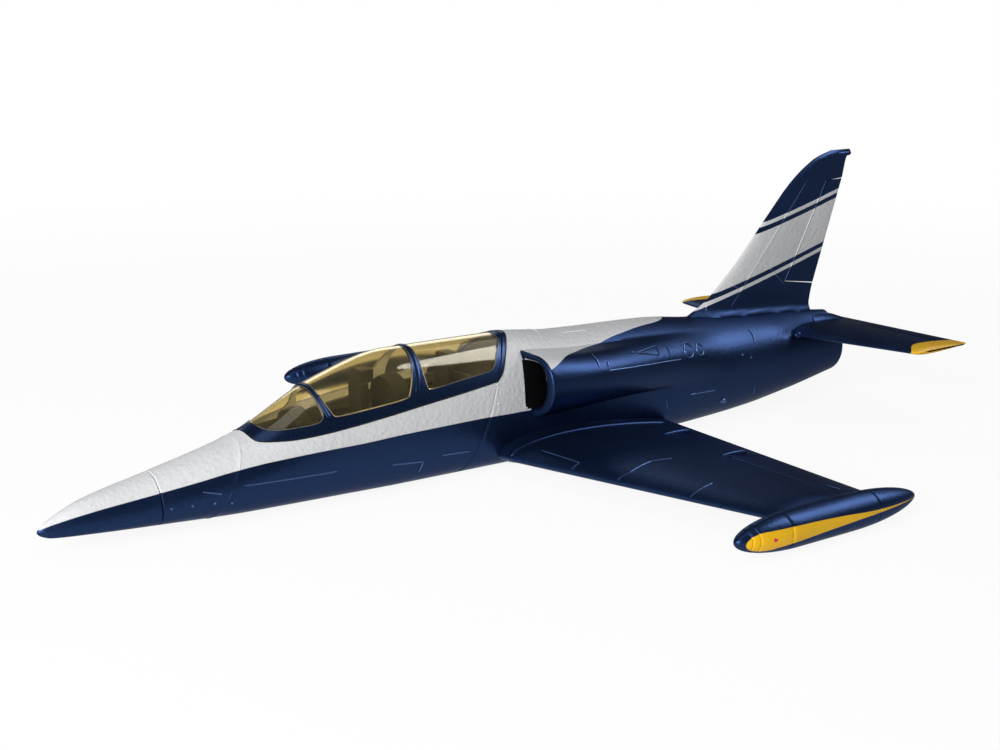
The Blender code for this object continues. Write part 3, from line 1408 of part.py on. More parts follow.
class Linkage:
    """A servo, its arm, a pushrod and a horn: a parallelogram that swings a control surface."""

    def __init__(self, label, hinge, point, out, run, arm, drop, case_side):
        self.label = label
        self.axis = hinge.axis.copy()
        self.out = Vector(out)
        self.aft = self.out.cross(self.axis).normalized()
        if self.aft.x < 0:
            self.aft = -self.aft
        self.pivot = Vector(point)
        self.arm = arm
        self.shaft = self.pivot - self.aft * run + self.out * drop
        self.case_side = case_side

    def place_from(self, origin):
        """Maps (aft, out, along the hinge) distances from a point to aircraft axes."""
        return lambda u, v, w: tuple(origin + self.aft * u + self.out * v + self.axis * w)

    def lever(self, name, origin, base_radius, bore):
        """A flat lever from an axle to its pin hole; bore opens the axle end."""
        outline = []
        for i in range(9):
            turn = math.pi + math.pi * i / 8
            outline.append((base_radius * math.cos(turn), base_radius * math.sin(turn)))
        for i in range(7):
            turn = math.pi * i / 6
            outline.append((ARM_END_RADIUS * math.cos(turn), self.arm + ARM_END_RADIUS * math.sin(turn)))
        faces = (-ARM_THICKNESS / 2, ARM_THICKNESS / 2)
        place = self.place_from(origin)
        lever = extrude_outline(name, outline, faces, place, tuple(origin))
        cut(lever, self.pin(name + "_pin_hole", place, self.arm, PIN_HOLE_RADIUS))
        if bore:
            cut(lever, self.pin(name + "_bore", place, 0.0, bore))
        return lever

    def pin(self, name, place, height, radius):
        profile = ((-ARM_THICKNESS, radius), (ARM_THICKNESS, radius))
        return turned(name, profile, lambda a, c, s: place(c, height + s, a), 8)

    def make_arm(self):
        bore = SERVO_SHAFT_RADIUS + CLEARANCE
        arm = self.lever(self.label + "_servo_arm", self.shaft, ARM_HUB_RADIUS, bore)
        return finish(arm, WHITE)

    def make_horn(self, radius):
        """The horn stands on the control surface and carries the pushrod straight off the hinge."""
        name = self.label + "_horn"
        foot = radius + CLEARANCE
        outline = [(-HORN_FRONT, foot), (HORN_BASE - HORN_FRONT, foot)]
        for i in range(7):
            turn = math.pi * i / 6
            outline.append((ARM_END_RADIUS * math.cos(turn), self.arm + ARM_END_RADIUS * math.sin(turn)))
        place = self.place_from(self.pivot)
        faces = (-ARM_THICKNESS / 2, ARM_THICKNESS / 2)
        horn = extrude_outline(name, outline, faces, place, tuple(self.pivot))
        cut(horn, self.pin(name + "_pin_hole", place, self.arm, PIN_HOLE_RADIUS))
        return finish(horn, WHITE)

    def make_pushrod(self):
        """A wire with a bent end through each lever's hole."""
        start = self.shaft + self.out * self.arm
        end = self.pivot + self.out * self.arm
        side = self.axis * -self.case_side
        beyond = side * -(ARM_THICKNESS / 2 + PIN_PROUD)
        route = (start + beyond, start + side * PUSHROD_SIDE, end + side * PUSHROD_SIDE, end + beyond)
        curve = bpy.data.curves.new(self.label + "_pushrod", "CURVE")
        curve.dimensions = "3D"
        curve.bevel_depth = PUSHROD_RADIUS * MM
        curve.bevel_resolution = 1
        curve.use_fill_caps = True
        spline = curve.splines.new("POLY")
        spline.points.add(len(route) - 1)
        for point, place in zip(spline.points, route):
            point.co = (*((place - start) * MM), 1.0)
        obj = bpy.data.objects.new(self.label + "_pushrod", curve)
        obj.parent = DATUM
        obj.location = start * MM
        bpy.context.scene.collection.objects.link(obj)
        return finish(obj, STEEL)

    def case_place(self):
        return self.place_from(self.shaft)

    def make_servo(self):
        """The servo case on its side, with its ears and its output shaft through the arm."""
        near = self.case_side * (ARM_THICKNESS / 2 + SERVO_ARM_GAP)
        far = near + self.case_side * SERVO_HEIGHT
        ear_near = near + self.case_side * SERVO_EAR_SET
        ear_far = ear_near + self.case_side * SERVO_EAR_THICKNESS
        front = -(SERVO_LENGTH - SERVO_SHAFT_SET)
        rear = SERVO_SHAFT_SET
        outline = (
            (front, near),
            (rear, near),
            (rear, ear_near),
            (rear + SERVO_EAR_LENGTH, ear_near),
            (rear + SERVO_EAR_LENGTH, ear_far),
            (rear, ear_far),
            (rear, far),
            (front, far),
            (front, ear_far),
            (front - SERVO_EAR_LENGTH, ear_far),
            (front - SERVO_EAR_LENGTH, ear_near),
            (front, ear_near),
        )
        half = SERVO_THICKNESS / 2
        place = self.case_place()
        name = self.label + "_servo"
        servo = extrude_outline(name, outline, (-half, half), lambda u, w, v: place(u, v, w))
        tip = -self.case_side * (ARM_THICKNESS / 2 + SERVO_SHAFT_PROUD)
        root = near + self.case_side * SERVO_EAR_SET / 2
        profile = sorted(((tip, SERVO_SHAFT_RADIUS), (root, SERVO_SHAFT_RADIUS)))
        shaft = turned(name + "_shaft", profile, lambda a, c, s: place(c, s, a), 12)
        return finish(combine(servo, shaft, "UNION"), BLACK)

    def pockets(self, owner):
        """The servo's pocket and the arm's slot, open on the linkage side."""
        place = self.case_place()
        near = self.case_side * (ARM_THICKNESS / 2 + SERVO_ARM_GAP - CLEARANCE)
        far = self.case_side * (ARM_THICKNESS / 2 + SERVO_ARM_GAP + SERVO_HEIGHT + CLEARANCE)
        front = -(SERVO_LENGTH - SERVO_SHAFT_SET) - SERVO_EAR_LENGTH - CLEARANCE
        rear = SERVO_SHAFT_SET + SERVO_EAR_LENGTH + CLEARANCE
        floor = -SERVO_THICKNESS / 2 - CLEARANCE
        depth = self.arm + SERVO_THICKNESS
        case = ((front, near), (rear, near), (rear, far), (front, far))
        slot_near = near + self.case_side * SERVO_ARM_GAP / 2
        slot_far = self.case_side * -(PUSHROD_SIDE + PUSHROD_RADIUS + PIN_PROUD)
        slot = (
            (-ARM_SLOT_HALF, slot_near),
            (ARM_SLOT_HALF, slot_near),
            (ARM_SLOT_HALF, slot_far),
            (-ARM_SLOT_HALF, slot_far),
        )
        cutters = []
        for label, outline in (("case", case), ("slot", slot)):
            name = f"{owner}_{label}_pocket"
            cutters.append(extrude_outline(name, outline, (floor, depth), lambda u, w, v: place(u, v, w)))
        return cutters


def make_linkages():
    """The four linkages: one under each aileron, one under the starboard elevator, one on the fin."""
    links = {}
    for label, side in (("left_aileron", -1), ("right_aileron", 1)):
        hinge = aileron_hinge(side)
        share = (AILERON_LINK_Y - AILERON_INNER_Y) / (AILERON_OUTER_Y - AILERON_INNER_Y)
        point = hinge.start.lerp(hinge.end, share)
        links[label] = Linkage(
            label, hinge, point, (0, 0, -1), AILERON_LINK_RUN, AILERON_ARM, AILERON_SHAFT_DROP, -1
        )
    hinge = elevator_hinge(1)
    point = (ELEVATOR_HINGE_X, ELEVATOR_LINK_Y, STAB_Z)
    links["elevator"] = Linkage(
        "elevator", hinge, point, (0, 0, -1), ELEVATOR_LINK_RUN, ELEVATOR_ARM, ELEVATOR_SHAFT_DROP, 1
    )
    hinge = rudder_hinge()
    point = hinge.start.lerp(hinge.end, RUDDER_LINK_SHARE)
    links["rudder"] = Linkage(
        "rudder", hinge, point, (0, 1, 0), RUDDER_LINK_RUN, RUDDER_ARM, RUDDER_SHAFT_DROP, -1
    )
    return links


def make_linkage_pieces(links):
    for label, link in links.items():
        hinge = {"elevator": elevator_hinge(1), "rudder": rudder_hinge()}.get(label)
        if hinge is None:
            hinge = aileron_hinge(-1 if label.startswith("left") else 1)
        link.make_servo()
        link.make_arm()
        link.make_pushrod()
        link.make_horn(max(hinge.radii))


def main():
    make_nose_cone()
    make_front_fuselage()
    make_rear_half("rear_fuselage_left", -1)
    make_rear_half("rear_fuselage_right", 1)
    make_canopy_frame()
    for name, outline in WINDOWS:
        make_pane(name, outline)
    make_cockpit_tub()
    make_instrument_panel("front_instrument_panel", FRONT_PANEL_X, FRONT_PANEL_HALF_WIDTH, FRONT_PANEL_TOP_Z)
    make_instrument_panel("rear_instrument_panel", REAR_PANEL_X, REAR_PANEL_HALF_WIDTH, REAR_PANEL_TOP_Z)
    make_seat("front_seat", FRONT_SEAT_X, FRONT_SEAT_HEADROOM)
    make_seat("rear_seat", REAR_SEAT_X, REAR_SEAT_HEADROOM)
    finish(magnet("body_magnet", True), STEEL)
    finish(magnet("hatch_magnet", False), STEEL)
    make_fan_shroud()
    make_fan_rotor()
    make_spinner()
    make_motor()
    make_tail_pipe()
    make_battery_tray()
    make_battery()
    make_battery_strap()
    make_receiver()
    make_speed_controller()
    links = make_linkages()
    make_spar()
    for word, side in (("left", -1), ("right", 1)):
        make_wing(word + "_wing", side, links[word + "_aileron"])
        finish(aileron_hinge(side).solid(word + "_aileron"), BLUE)
        make_tip_tank(word + "_tip_tank", side)
        finish(screw(word + "_wing_screw", side), STEEL)
        make_stabiliser(word + "_stabiliser", side, links["elevator"] if side > 0 else None)
        make_elevator(word + "_elevator", side)
    finish(joiner_rod("elevator_joiner", JOINER_RADIUS), STEEL)
    make_fin(links["rudder"])
    finish(rudder_hinge().solid("rudder"), BLUE)
    make_linkage_pieces(links)


clear_scene()
DATUM = make_datum()
main()
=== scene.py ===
"""Looks of a foam radio-controlled jet trainer: fine skins, paint and studio light over the CAD frame.

Shapes are worked out in aircraft millimetres (x aft from the nose tip, y to starboard, z up from the
nose line) and are moved into the frame's metres when they become meshes.
"""

from __future__ import annotations

import json
import logging
import math
from dataclasses import dataclass
from enum import Enum
from functools import partial
from typing import Callable, Sequence

import bmesh
import bpy
import numpy as np
from bpy.types import Material, Node, NodeTree, Object
from bpy.types import NodeSocket as Socket
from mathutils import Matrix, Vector

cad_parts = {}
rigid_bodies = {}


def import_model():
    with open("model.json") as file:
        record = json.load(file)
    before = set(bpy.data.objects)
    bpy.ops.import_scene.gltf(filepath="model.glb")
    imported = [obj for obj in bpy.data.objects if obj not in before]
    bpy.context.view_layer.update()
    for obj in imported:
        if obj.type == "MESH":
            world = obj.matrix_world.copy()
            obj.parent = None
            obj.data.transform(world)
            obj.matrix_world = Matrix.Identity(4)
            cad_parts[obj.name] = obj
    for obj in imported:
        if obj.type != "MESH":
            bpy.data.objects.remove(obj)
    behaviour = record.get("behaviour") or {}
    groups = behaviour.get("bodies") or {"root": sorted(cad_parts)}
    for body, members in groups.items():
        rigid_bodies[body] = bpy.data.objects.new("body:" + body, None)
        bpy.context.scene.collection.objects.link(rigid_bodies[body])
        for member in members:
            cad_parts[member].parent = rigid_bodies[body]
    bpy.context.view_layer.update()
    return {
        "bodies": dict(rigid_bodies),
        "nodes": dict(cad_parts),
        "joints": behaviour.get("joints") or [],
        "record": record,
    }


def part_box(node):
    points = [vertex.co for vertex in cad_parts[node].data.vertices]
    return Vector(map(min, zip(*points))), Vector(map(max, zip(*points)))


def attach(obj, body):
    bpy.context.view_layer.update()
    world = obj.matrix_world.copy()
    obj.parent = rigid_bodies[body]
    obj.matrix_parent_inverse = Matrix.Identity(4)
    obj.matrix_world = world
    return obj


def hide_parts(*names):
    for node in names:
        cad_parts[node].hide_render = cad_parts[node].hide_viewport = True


LOG = logging.getLogger("rc_jet")
MM = 0.001
MIRROR = np.array((1.0, -1.0, 1.0))
Array = np.ndarray
Pair = tuple[float, float]
Triple = tuple[float, float, float]
Line = Sequence[Pair]

# Fuselage sections: x, crown, keel, half width, height of the waist, squareness of the belly
STATIONS = (
    (0, -27.9, -27.9, 0.0, -27.9, 2.0),
    (3, -24.0, -31.0, 2.8, -28.2, 2.0),
    (12, -18.2, -34.2, 6.5, -30.0, 2.0),
    (40, -6.8, -36.0, 14.5, -29.0, 2.0),
    (97.5, 5.1, -39.5, 25.0, -24.0, 2.0),
    (177, 23.2, -43.6, 36.0, -14.0, 2.1),
    (260, 62.0, -44.8, 42.0, -6.0, 2.3),
    (330, 78.0, -46.1, 44.0, 0.0, 2.4),
    (451, 77.2, -46.6, 45.5, 3.0, 2.5),
    (520, 70.8, -47.0, 49.0, 6.0, 2.5),
    (640, 67.0, -46.0, 52.0, 8.0, 2.3),
    (700, 60.5, -44.5, 48.5, 8.5, 2.2),
    (760, 56.5, -41.5, 44.0, 8.5, 2.1),
    (830, 52.0, -33.5, 37.5, 8.5, 2.0),
    (899, 45.0, -22.0, 30.0, 8.5, 2.0),
)
BELLY_Z = -45.8
PINCH = 0.4
PINCH_X = (790.0, 890.0)
PINCH_Z = (29.0, 36.0)
NOSE_JOINT_X = 97.5
TAIL_X = 899.0
GAP = 0.3
GROOVE = 0.5

# Hatch edge in side view, and the seam between the front and rear fuselage
HATCH_TIP = (
    (181.5, 29.0), (182.8, 26.5), (183.9, 24.0), (184.8, 22.0), (186.2, 20.6), (188.5, 19.9), (192.0, 19.5),
)
HATCH_RAIL = (
    (194.9, 19.3), (213.0, 18.9), (230.0, 19.7), (262.0, 22.3), (300.0, 26.4), (340.0, 31.0), (381.0, 35.2),
    (425.0, 40.2),
)
HATCH_ARCH = ((425.0, 40.2), (432.0, 46.3), (442.0, 61.4), (451.0, 71.9), (460.0, 78.5))
HATCH_TOP_Z = 100.0
HATCH_WALL = 2.6
HATCH_BULKHEAD = 4.5
MAGNET_SHARE = 0.54
MAGNET_RADIUS = 4.0
SEAM_X = 407.0
SEAM_LEAN = 0.44
FOAM_WALL = 5.0

# Intake cheeks, ducts and fan
LIP_X = 459.0
LIP_ROUND = 2.5
LIP_WALL = 7.4
LIP_SIDE_SHARE = 2.05
MOUTH_LEAD = 6.0
MOUTH_RECESS = 0.7
CHEEK_TOP_ANGLE = 48.0
CHEEK_START_ANGLE = 54.0
CHEEK_FADE_ANGLE = 12.0
CHEEK_Y = 46.0
CHEEK_Z = 33.0
CHEEK_WIDTH = 31.5
CHEEK_HEIGHT = 29.0
CHEEK_SQUARENESS = 2.4
CHEEK_LENGTH = 261.0
DUCT_MERGE_X = 568.0
FAN_FACE_X = 592.0
FAN_RADIUS = 27.8
THRUST_Z = 8.5

# Wing, its two values at the root and at the tip
WING_Y = (58.0, 340.0)
WING_LE = (425.0, 473.0)
WING_CHORD = (203.0, 111.0)
WING_Z = (-27.5, -20.5)
WING_THICKNESS = 0.115
WING_CAMBER = 0.012
TRAILING_HALF = 0.5
AILERON_Y = (200.0, 327.0)
AILERON_HINGE_SHARE = 0.74
TIP_SINK_Y = 326.0
TIP_SINK = 0.4
STUB_INNER_Y = 30.0
STUB_FLARE = 5.5
STUB_FLARE_LENGTH = 14.0

# Room round a control surface
END_GAP = 0.4
NOSE_GAP = 0.5
BAY_REACH = 6.0
ARM_GAP = 1.2

# Tip tanks; the nose and the tail have a length and a power
TANK_Y = 346.0
TANK_Z = -29.3
TANK_RADIUS = 15.7
TANK_X = (423.0, 635.0)
TANK_NOSE = (66.0, 0.5)
TANK_TAIL = (84.0, 0.58)

# Tail; the fin's levels are z, leading edge, trailing edge and thickness
STAB_Z = 33.0
STAB_LE = (810.0, 847.0)
STAB_TE = (928.5, 926.0)
STAB_TIP_Y = 172.0
STAB_THICKNESS = 0.088
STAB_SHOULDER = 5.0
STAB_TIP_SWEEP = 4.0
STAB_TIP_ROUND = 7.0
ELEVATOR_X = 905.0
ELEVATOR_Y = (52.0, 150.0)
FIN_LEVELS = (
    (40.0, 662.0, 872.0, 11.5),
    (59.5, 692.0, 874.5, 11.0),
    (74.0, 720.0, 877.7, 10.5),
    (93.0, 744.0, 884.5, 10.0),
    (112.0, 765.0, 891.2, 9.5),
    (159.0, 810.0, 907.9, 8.0),
    (189.0, 841.0, 918.4, 7.0),
    (209.5, 873.0, 924.0, 6.0),
    (213.5, 884.0, 930.6, 5.0),
    (217.5, 899.0, 928.0, 2.0),
)
FIN_TOP = 217.5
RUDDER_HINGE = ((836.0, 83.0), (896.0, 186.0))
RUDDER_TRAIL_Z = (77.0, 187.0)
RUDDER_TRIM = 0.005

# Canopy windows in side view
WINDOWS = {
    "windscreen_pane": (
        (192, 100), (192.5, 31), (196, 28.2), (203, 26.9), (215, 27.4), (239, 29.3),
        (244, 32), (246.2, 36), (244, 48), (243.2, 56), (243, 100),
    ),
    "front_canopy_pane": (
        (248.5, 100), (247.2, 57), (248.5, 48), (254.5, 34), (257, 32.4), (299, 36), (328, 38.8),
        (331, 42), (338, 57), (343, 71), (345.3, 78), (346, 100),
    ),
    "rear_canopy_pane": (
        (353, 100), (351, 78), (349.4, 66), (349.4, 45), (352, 42.8), (388, 46.9), (419, 49.8),
        (424.6, 52), (431, 61), (438.4, 68.8), (444, 73), (450, 100),
    ),
}
GLASS_SETBACK = 0.4
GLASS_THICKNESS = 1.2

# Camera, from the outlines in the photograph
CAMERA_AZIMUTH = -37.1
CAMERA_ELEVATION = 13.36
CAMERA_DISTANCE = 1.5715
CAMERA_TARGET = Vector((-0.0084, 0.0, 0.0804))
CAMERA_LENS = 60.4
CAMERA_SENSOR = 36.0


class Side(Enum):
    """The two sides of the aircraft, as the sign of y."""

    LEFT = -1
    RIGHT = 1

    @property
    def label(self) -> str:
        """The side's word in the names of pieces."""
        return self.name.lower()

    @property
    def wing_body(self) -> str:
        """The side's word in the names of bodies."""
        return "port" if self is Side.LEFT else "starboard"


def ease(value: Array | float) -> Array | float:
    """Rises smoothly from 0 to 1 as the value does, which is held between them."""
    t = np.clip(value, 0.0, 1.0)
    return t * t * (3 - 2 * t)


def signed_power(value: Array, power: float | Array) -> Array:
    """Raises values to a power and keeps their signs."""
    return np.sign(value) * np.abs(value) ** power


def between(ends: Sequence, share: float) -> Array | float:
    """The value a share of the way from one end to the other."""
    return ends[0] + (ends[1] - ends[0]) * share


def unit(vector: Array) -> Array:
    """The vector with a length of 1."""
    return vector / np.linalg.norm(vector)


def merge(*values: Array | float) -> Array:
    """Points from their coordinates, each one value for all of them or one for each."""
    return np.stack(np.broadcast_arrays(*values), axis=1)


def circle(sides: int) -> tuple[Array, Array]:
    """Cosines and sines of even steps round a circle."""
    turn = np.arange(sides) * 2 * math.pi / sides
    return np.cos(turn), np.sin(turn)


def walk(line: Line, steps: int, last: bool = True) -> list[Array]:
    """Points at even steps along each stretch of a line.

    Args:
        line: Its corners.
        steps: Steps on each stretch.
        last: Whether the last corner is among the points.
    Returns:
        The points.
    """
    corners = np.array(line, float)
    points = [between(ends, k / steps) for ends in zip(corners[:-1], corners[1:]) for k in range(steps)]
    return points + [corners[-1]] if last else points


class SmoothCurve:
    """A smooth curve through its points that never overshoots them."""

    def __init__(self, points: Line) -> None:
        """Finds the slope at each point.

        Args:
            points: Places and values.
        """
        self.at, self.value = np.array(points, float).T
        rise = np.diff(self.value) / np.diff(self.at)
        self.slope = np.zeros(len(self.at))
        self.slope[[0, -1]] = rise[[0, -1]]
        for i, (before, after) in enumerate(zip(rise[:-1], rise[1:]), 1):
            if before * after > 0:
                self.slope[i] = 2 * before * after / (before + after)

    def __call__(self, x: Array | float) -> Array:
        """Gives the curve's value.

        Args:
            x: One place or an array of them.
        Returns:
            The value there.
        """
        x = np.clip(x, self.at[0], self.at[-1])
        i = np.clip(np.searchsorted(self.at, x, side="right") - 1, 0, len(self.at) - 2)
        step = self.at[i + 1] - self.at[i]
        t = (x - self.at[i]) / step
        start = (1 + 2 * t) * (1 - t) ** 2 * self.value[i] + t * (1 - t) ** 2 * step * self.slope[i]
        end = t * t * (3 - 2 * t) * self.value[i + 1] + t * t * (t - 1) * step * self.slope[i + 1]
        return start + end


def curves(table: Sequence[Sequence[float]]) -> list[SmoothCurve]:
    """Curves through a table's columns, over its first one."""
    return [SmoothCurve([(row[0], row[k]) for row in table]) for k in range(1, len(table[0]))]


def rounded(outline: Line, passes: int = 3) -> Array:
    """Rounds the corners of a closed outline by cutting them again and again.

    Args:
        outline: Corners in order.
        passes: How many times the corners are cut.
    Returns:
        The finer outline.
    """
    points = np.array(outline, float)
    for _ in range(passes):
        following = np.roll(points, -1, axis=0)
        cuts = [points * (1 - share) + following * share for share in (0.25, 0.75)]
        points = np.stack(cuts, axis=1).reshape(-1, 2)
    return points


def offset(outline: Array, distance: float, sharpest: float = 0.35) -> Array:
    """Moves a closed outline outward along its normals.

    Args:
        outline: Points in order.
        distance: How far; a negative one draws it in.
        sharpest: Limit that keeps sharp corners from running far out.
    Returns:
        The moved outline.
    """
    points = np.asarray(outline, float)
    following = np.roll(points, -1, axis=0)
    area = np.sum(points[:, 0] * following[:, 1] - following[:, 0] * points[:, 1])
    edge = following - points
    normal = merge(edge[:, 1], -edge[:, 0]) * np.sign(area)
    normal /= np.maximum(np.linalg.norm(normal, axis=1), 1e-9)[:, None]
    before = np.roll(normal, 1, axis=0)
    spread = np.maximum(1 + np.sum(normal * before, axis=1), sharpest)
    return points + distance * (normal + before) / spread[:, None]


def foil(
    chord: float, thickness: float, share: Array | float, camber: float = 0.0
) -> tuple[Array, Array]:
    """Mean line and half thickness of a wing section.

    Args:
        chord: Its length.
        thickness: Its thickness as a share of the chord.
        share: Place along the chord, from 0 to 1.
        camber: Its camber as a share of the chord.
    Returns:
        The height of the mean line and the half thickness there.
    """
    curve = 0.2969 * np.sqrt(share) - 0.126 * share
    curve = curve - 0.3516 * share**2 + 0.2843 * share**3 - 0.1036 * share**4
    mean = 4 * camber * chord * share * (1 - share)
    return mean, 5 * thickness * chord * curve + TRAILING_HALF * share


def aerofoil(chord: float, thickness: float, camber: float = 0.0, count: int = 40) -> Array:
    """A wing section from the upper trailing edge round the nose to the lower one.

    Args:
        chord: Its length.
        thickness: Its thickness as a share of the chord.
        camber: Its camber as a share of the chord.
        count: Points on each side.
    Returns:
        Points along the chord and up.
    """
    share = (1 + np.cos(np.linspace(0.0, math.pi, count))) / 2
    mean, half = foil(chord, thickness, share, camber)
    upper, lower = (merge(share * chord, height) for height in (mean + half, mean - half))
    return np.concatenate([upper, lower[::-1][1:]])


@dataclass
class Shape:
    """A mesh in aircraft millimetres."""

    points: Array
    faces: list[tuple[int, ...]]

    @staticmethod
    def loft(rings: Sequence[Array], closed: bool = False) -> Shape:
        """Joins closed rings into a closed solid.

        Args:
            rings: Rings of the same count, in order.
            closed: Whether the last ring is joined to the first one, in place of end faces.
        Returns:
            The solid.
        """
        count, total = len(rings[0]), sum(len(ring) for ring in rings)
        faces = []
        for i in range(len(rings) - (not closed)):
            a, b = i * count, (i + 1) * count % total
            for j in range(count):
                k = (j + 1) % count
                faces.append((a + j, a + k, b + k, b + j))
        if not closed:
            faces += [tuple(range(count - 1, -1, -1)), tuple(range(total - count, total))]
        return Shape(np.concatenate(rings), faces)

    @staticmethod
    def plate(outline: Line, half_width: float = 90.0) -> Shape:
        """An outline of x and z carried across the aircraft to both sides."""
        return Shape.loft([np.array([(x, y, z) for x, z in outline]) for y in (-half_width, half_width)])

    @staticmethod
    def plan(outline: Line, low: float, high: float) -> Shape:
        """An outline of x and y carried from one height to another."""
        return Shape.loft([np.array([(x, y, z) for x, y in outline]) for z in (low, high)])

    @staticmethod
    def box(low: Sequence[float], high: Sequence[float]) -> Shape:
        """A box between its lowest and its highest corner."""
        outline = ((low[0], low[1]), (high[0], low[1]), (high[0], high[1]), (low[0], high[1]))
        return Shape.plan(outline, low[2], high[2])

    @staticmethod
    def turned(
        profile: Line, centre: Sequence[float], sides: int = 64, axis: int = 0, closed: bool = False
    ) -> Shape:
        """A profile turned about a line.

        Args:
            profile: Pairs of the place along the line and the radius.
            centre: A point of the line, whose coordinate along it is left out.
            sides: How many sides the round has.
            axis: 0, 1 or 2 for a line along x, y or z.
            closed: Whether the profile runs back to its start.
        Returns:
            The solid.
        """
        rings = []
        for along, radius in profile:
            ring = np.full((sides, 3), along, float)
            for k, turn in zip([k for k in range(3) if k != axis], circle(sides)):
                ring[:, k] = centre[k] + radius * turn
            rings.append(ring)
        return Shape.loft(rings, closed)

    @staticmethod
    def tube(path: Sequence[Sequence[float]], radius: float, sides: int = 8) -> Shape:
        """A thin round bead along a path, with tapered ends.

        Args:
            path: Points to follow.
            radius: Radius of the bead.
            sides: How many sides the round has.
        Returns:
            The solid.
        """
        line = np.array(path, float)
        apart = np.linalg.norm(np.diff(line, axis=0), axis=1) > 1e-6
        line = line[np.concatenate([[True], apart])]
        tangent = np.gradient(line, axis=0)
        tangent /= np.maximum(np.linalg.norm(tangent, axis=1), 1e-9)[:, None]
        reach = np.full(len(line), radius)
        reach[[0, -1]] *= 0.4
        normal = np.cross(tangent[0], (0.31, 0.52, 0.79))
        rings = []
        for point, along, size in zip(line, tangent, reach):
            normal = unit(normal - along * np.dot(normal, along))
            rings.append(point + size * Shape.disc(sides, normal, np.cross(along, normal)))
        return Shape.loft(rings)

    @staticmethod
    def disc(sides: int, across: Array, other: Array) -> Array:
        """Points round an ellipse with the given half axes."""
        cosines, sines = circle(sides)
        return np.outer(cosines, across) + np.outer(sines, other)

    @staticmethod
    def rod(start: Array, end: Array, radius: float, sides: int = 32) -> Shape:
        """A straight round bar.

        Args:
            start: Middle of its first end.
            end: Middle of its other end.
            radius: Its radius.
            sides: How many sides the round has.
        Returns:
            The solid.
        """
        along = unit(end - start)
        across = np.cross(along, (0.0, 1.0, 0.0))
        ring = radius * Shape.disc(sides, across, np.cross(along, across))
        return Shape.loft([start + ring, end + ring])

    @staticmethod
    def dome(centre: Sequence[float], radii: Sequence[float], rows: int = 10, sides: int = 20) -> Shape:
        """A smooth rounded lump.

        Args:
            centre: Its middle.
            radii: Its reach along x, y and z.
            rows: Rings between its ends.
            sides: Sides of each ring.
        Returns:
            The solid.
        """
        rings = []
        for tilt in np.linspace(0.05, math.pi - 0.05, rows):
            ring = math.sin(tilt) * Shape.disc(sides, np.array((0, 1, 0)), np.array((0, 0, 1)))
            ring[:, 0] = -math.cos(tilt)
            rings.append(np.array(centre) + ring * np.array(radii))
        return Shape.loft(rings)

    @staticmethod
    def together(shapes: Sequence[Shape]) -> Shape:
        """Puts several meshes into one, side by side.

        Args:
            shapes: The meshes.
        Returns:
            One mesh.
        """
        faces, step = [], 0
        for shape in shapes:
            faces += [tuple(i + step for i in face) for face in shape.faces]
            step += len(shape.points)
        return Shape(np.concatenate([shape.points for shape in shapes]), faces)


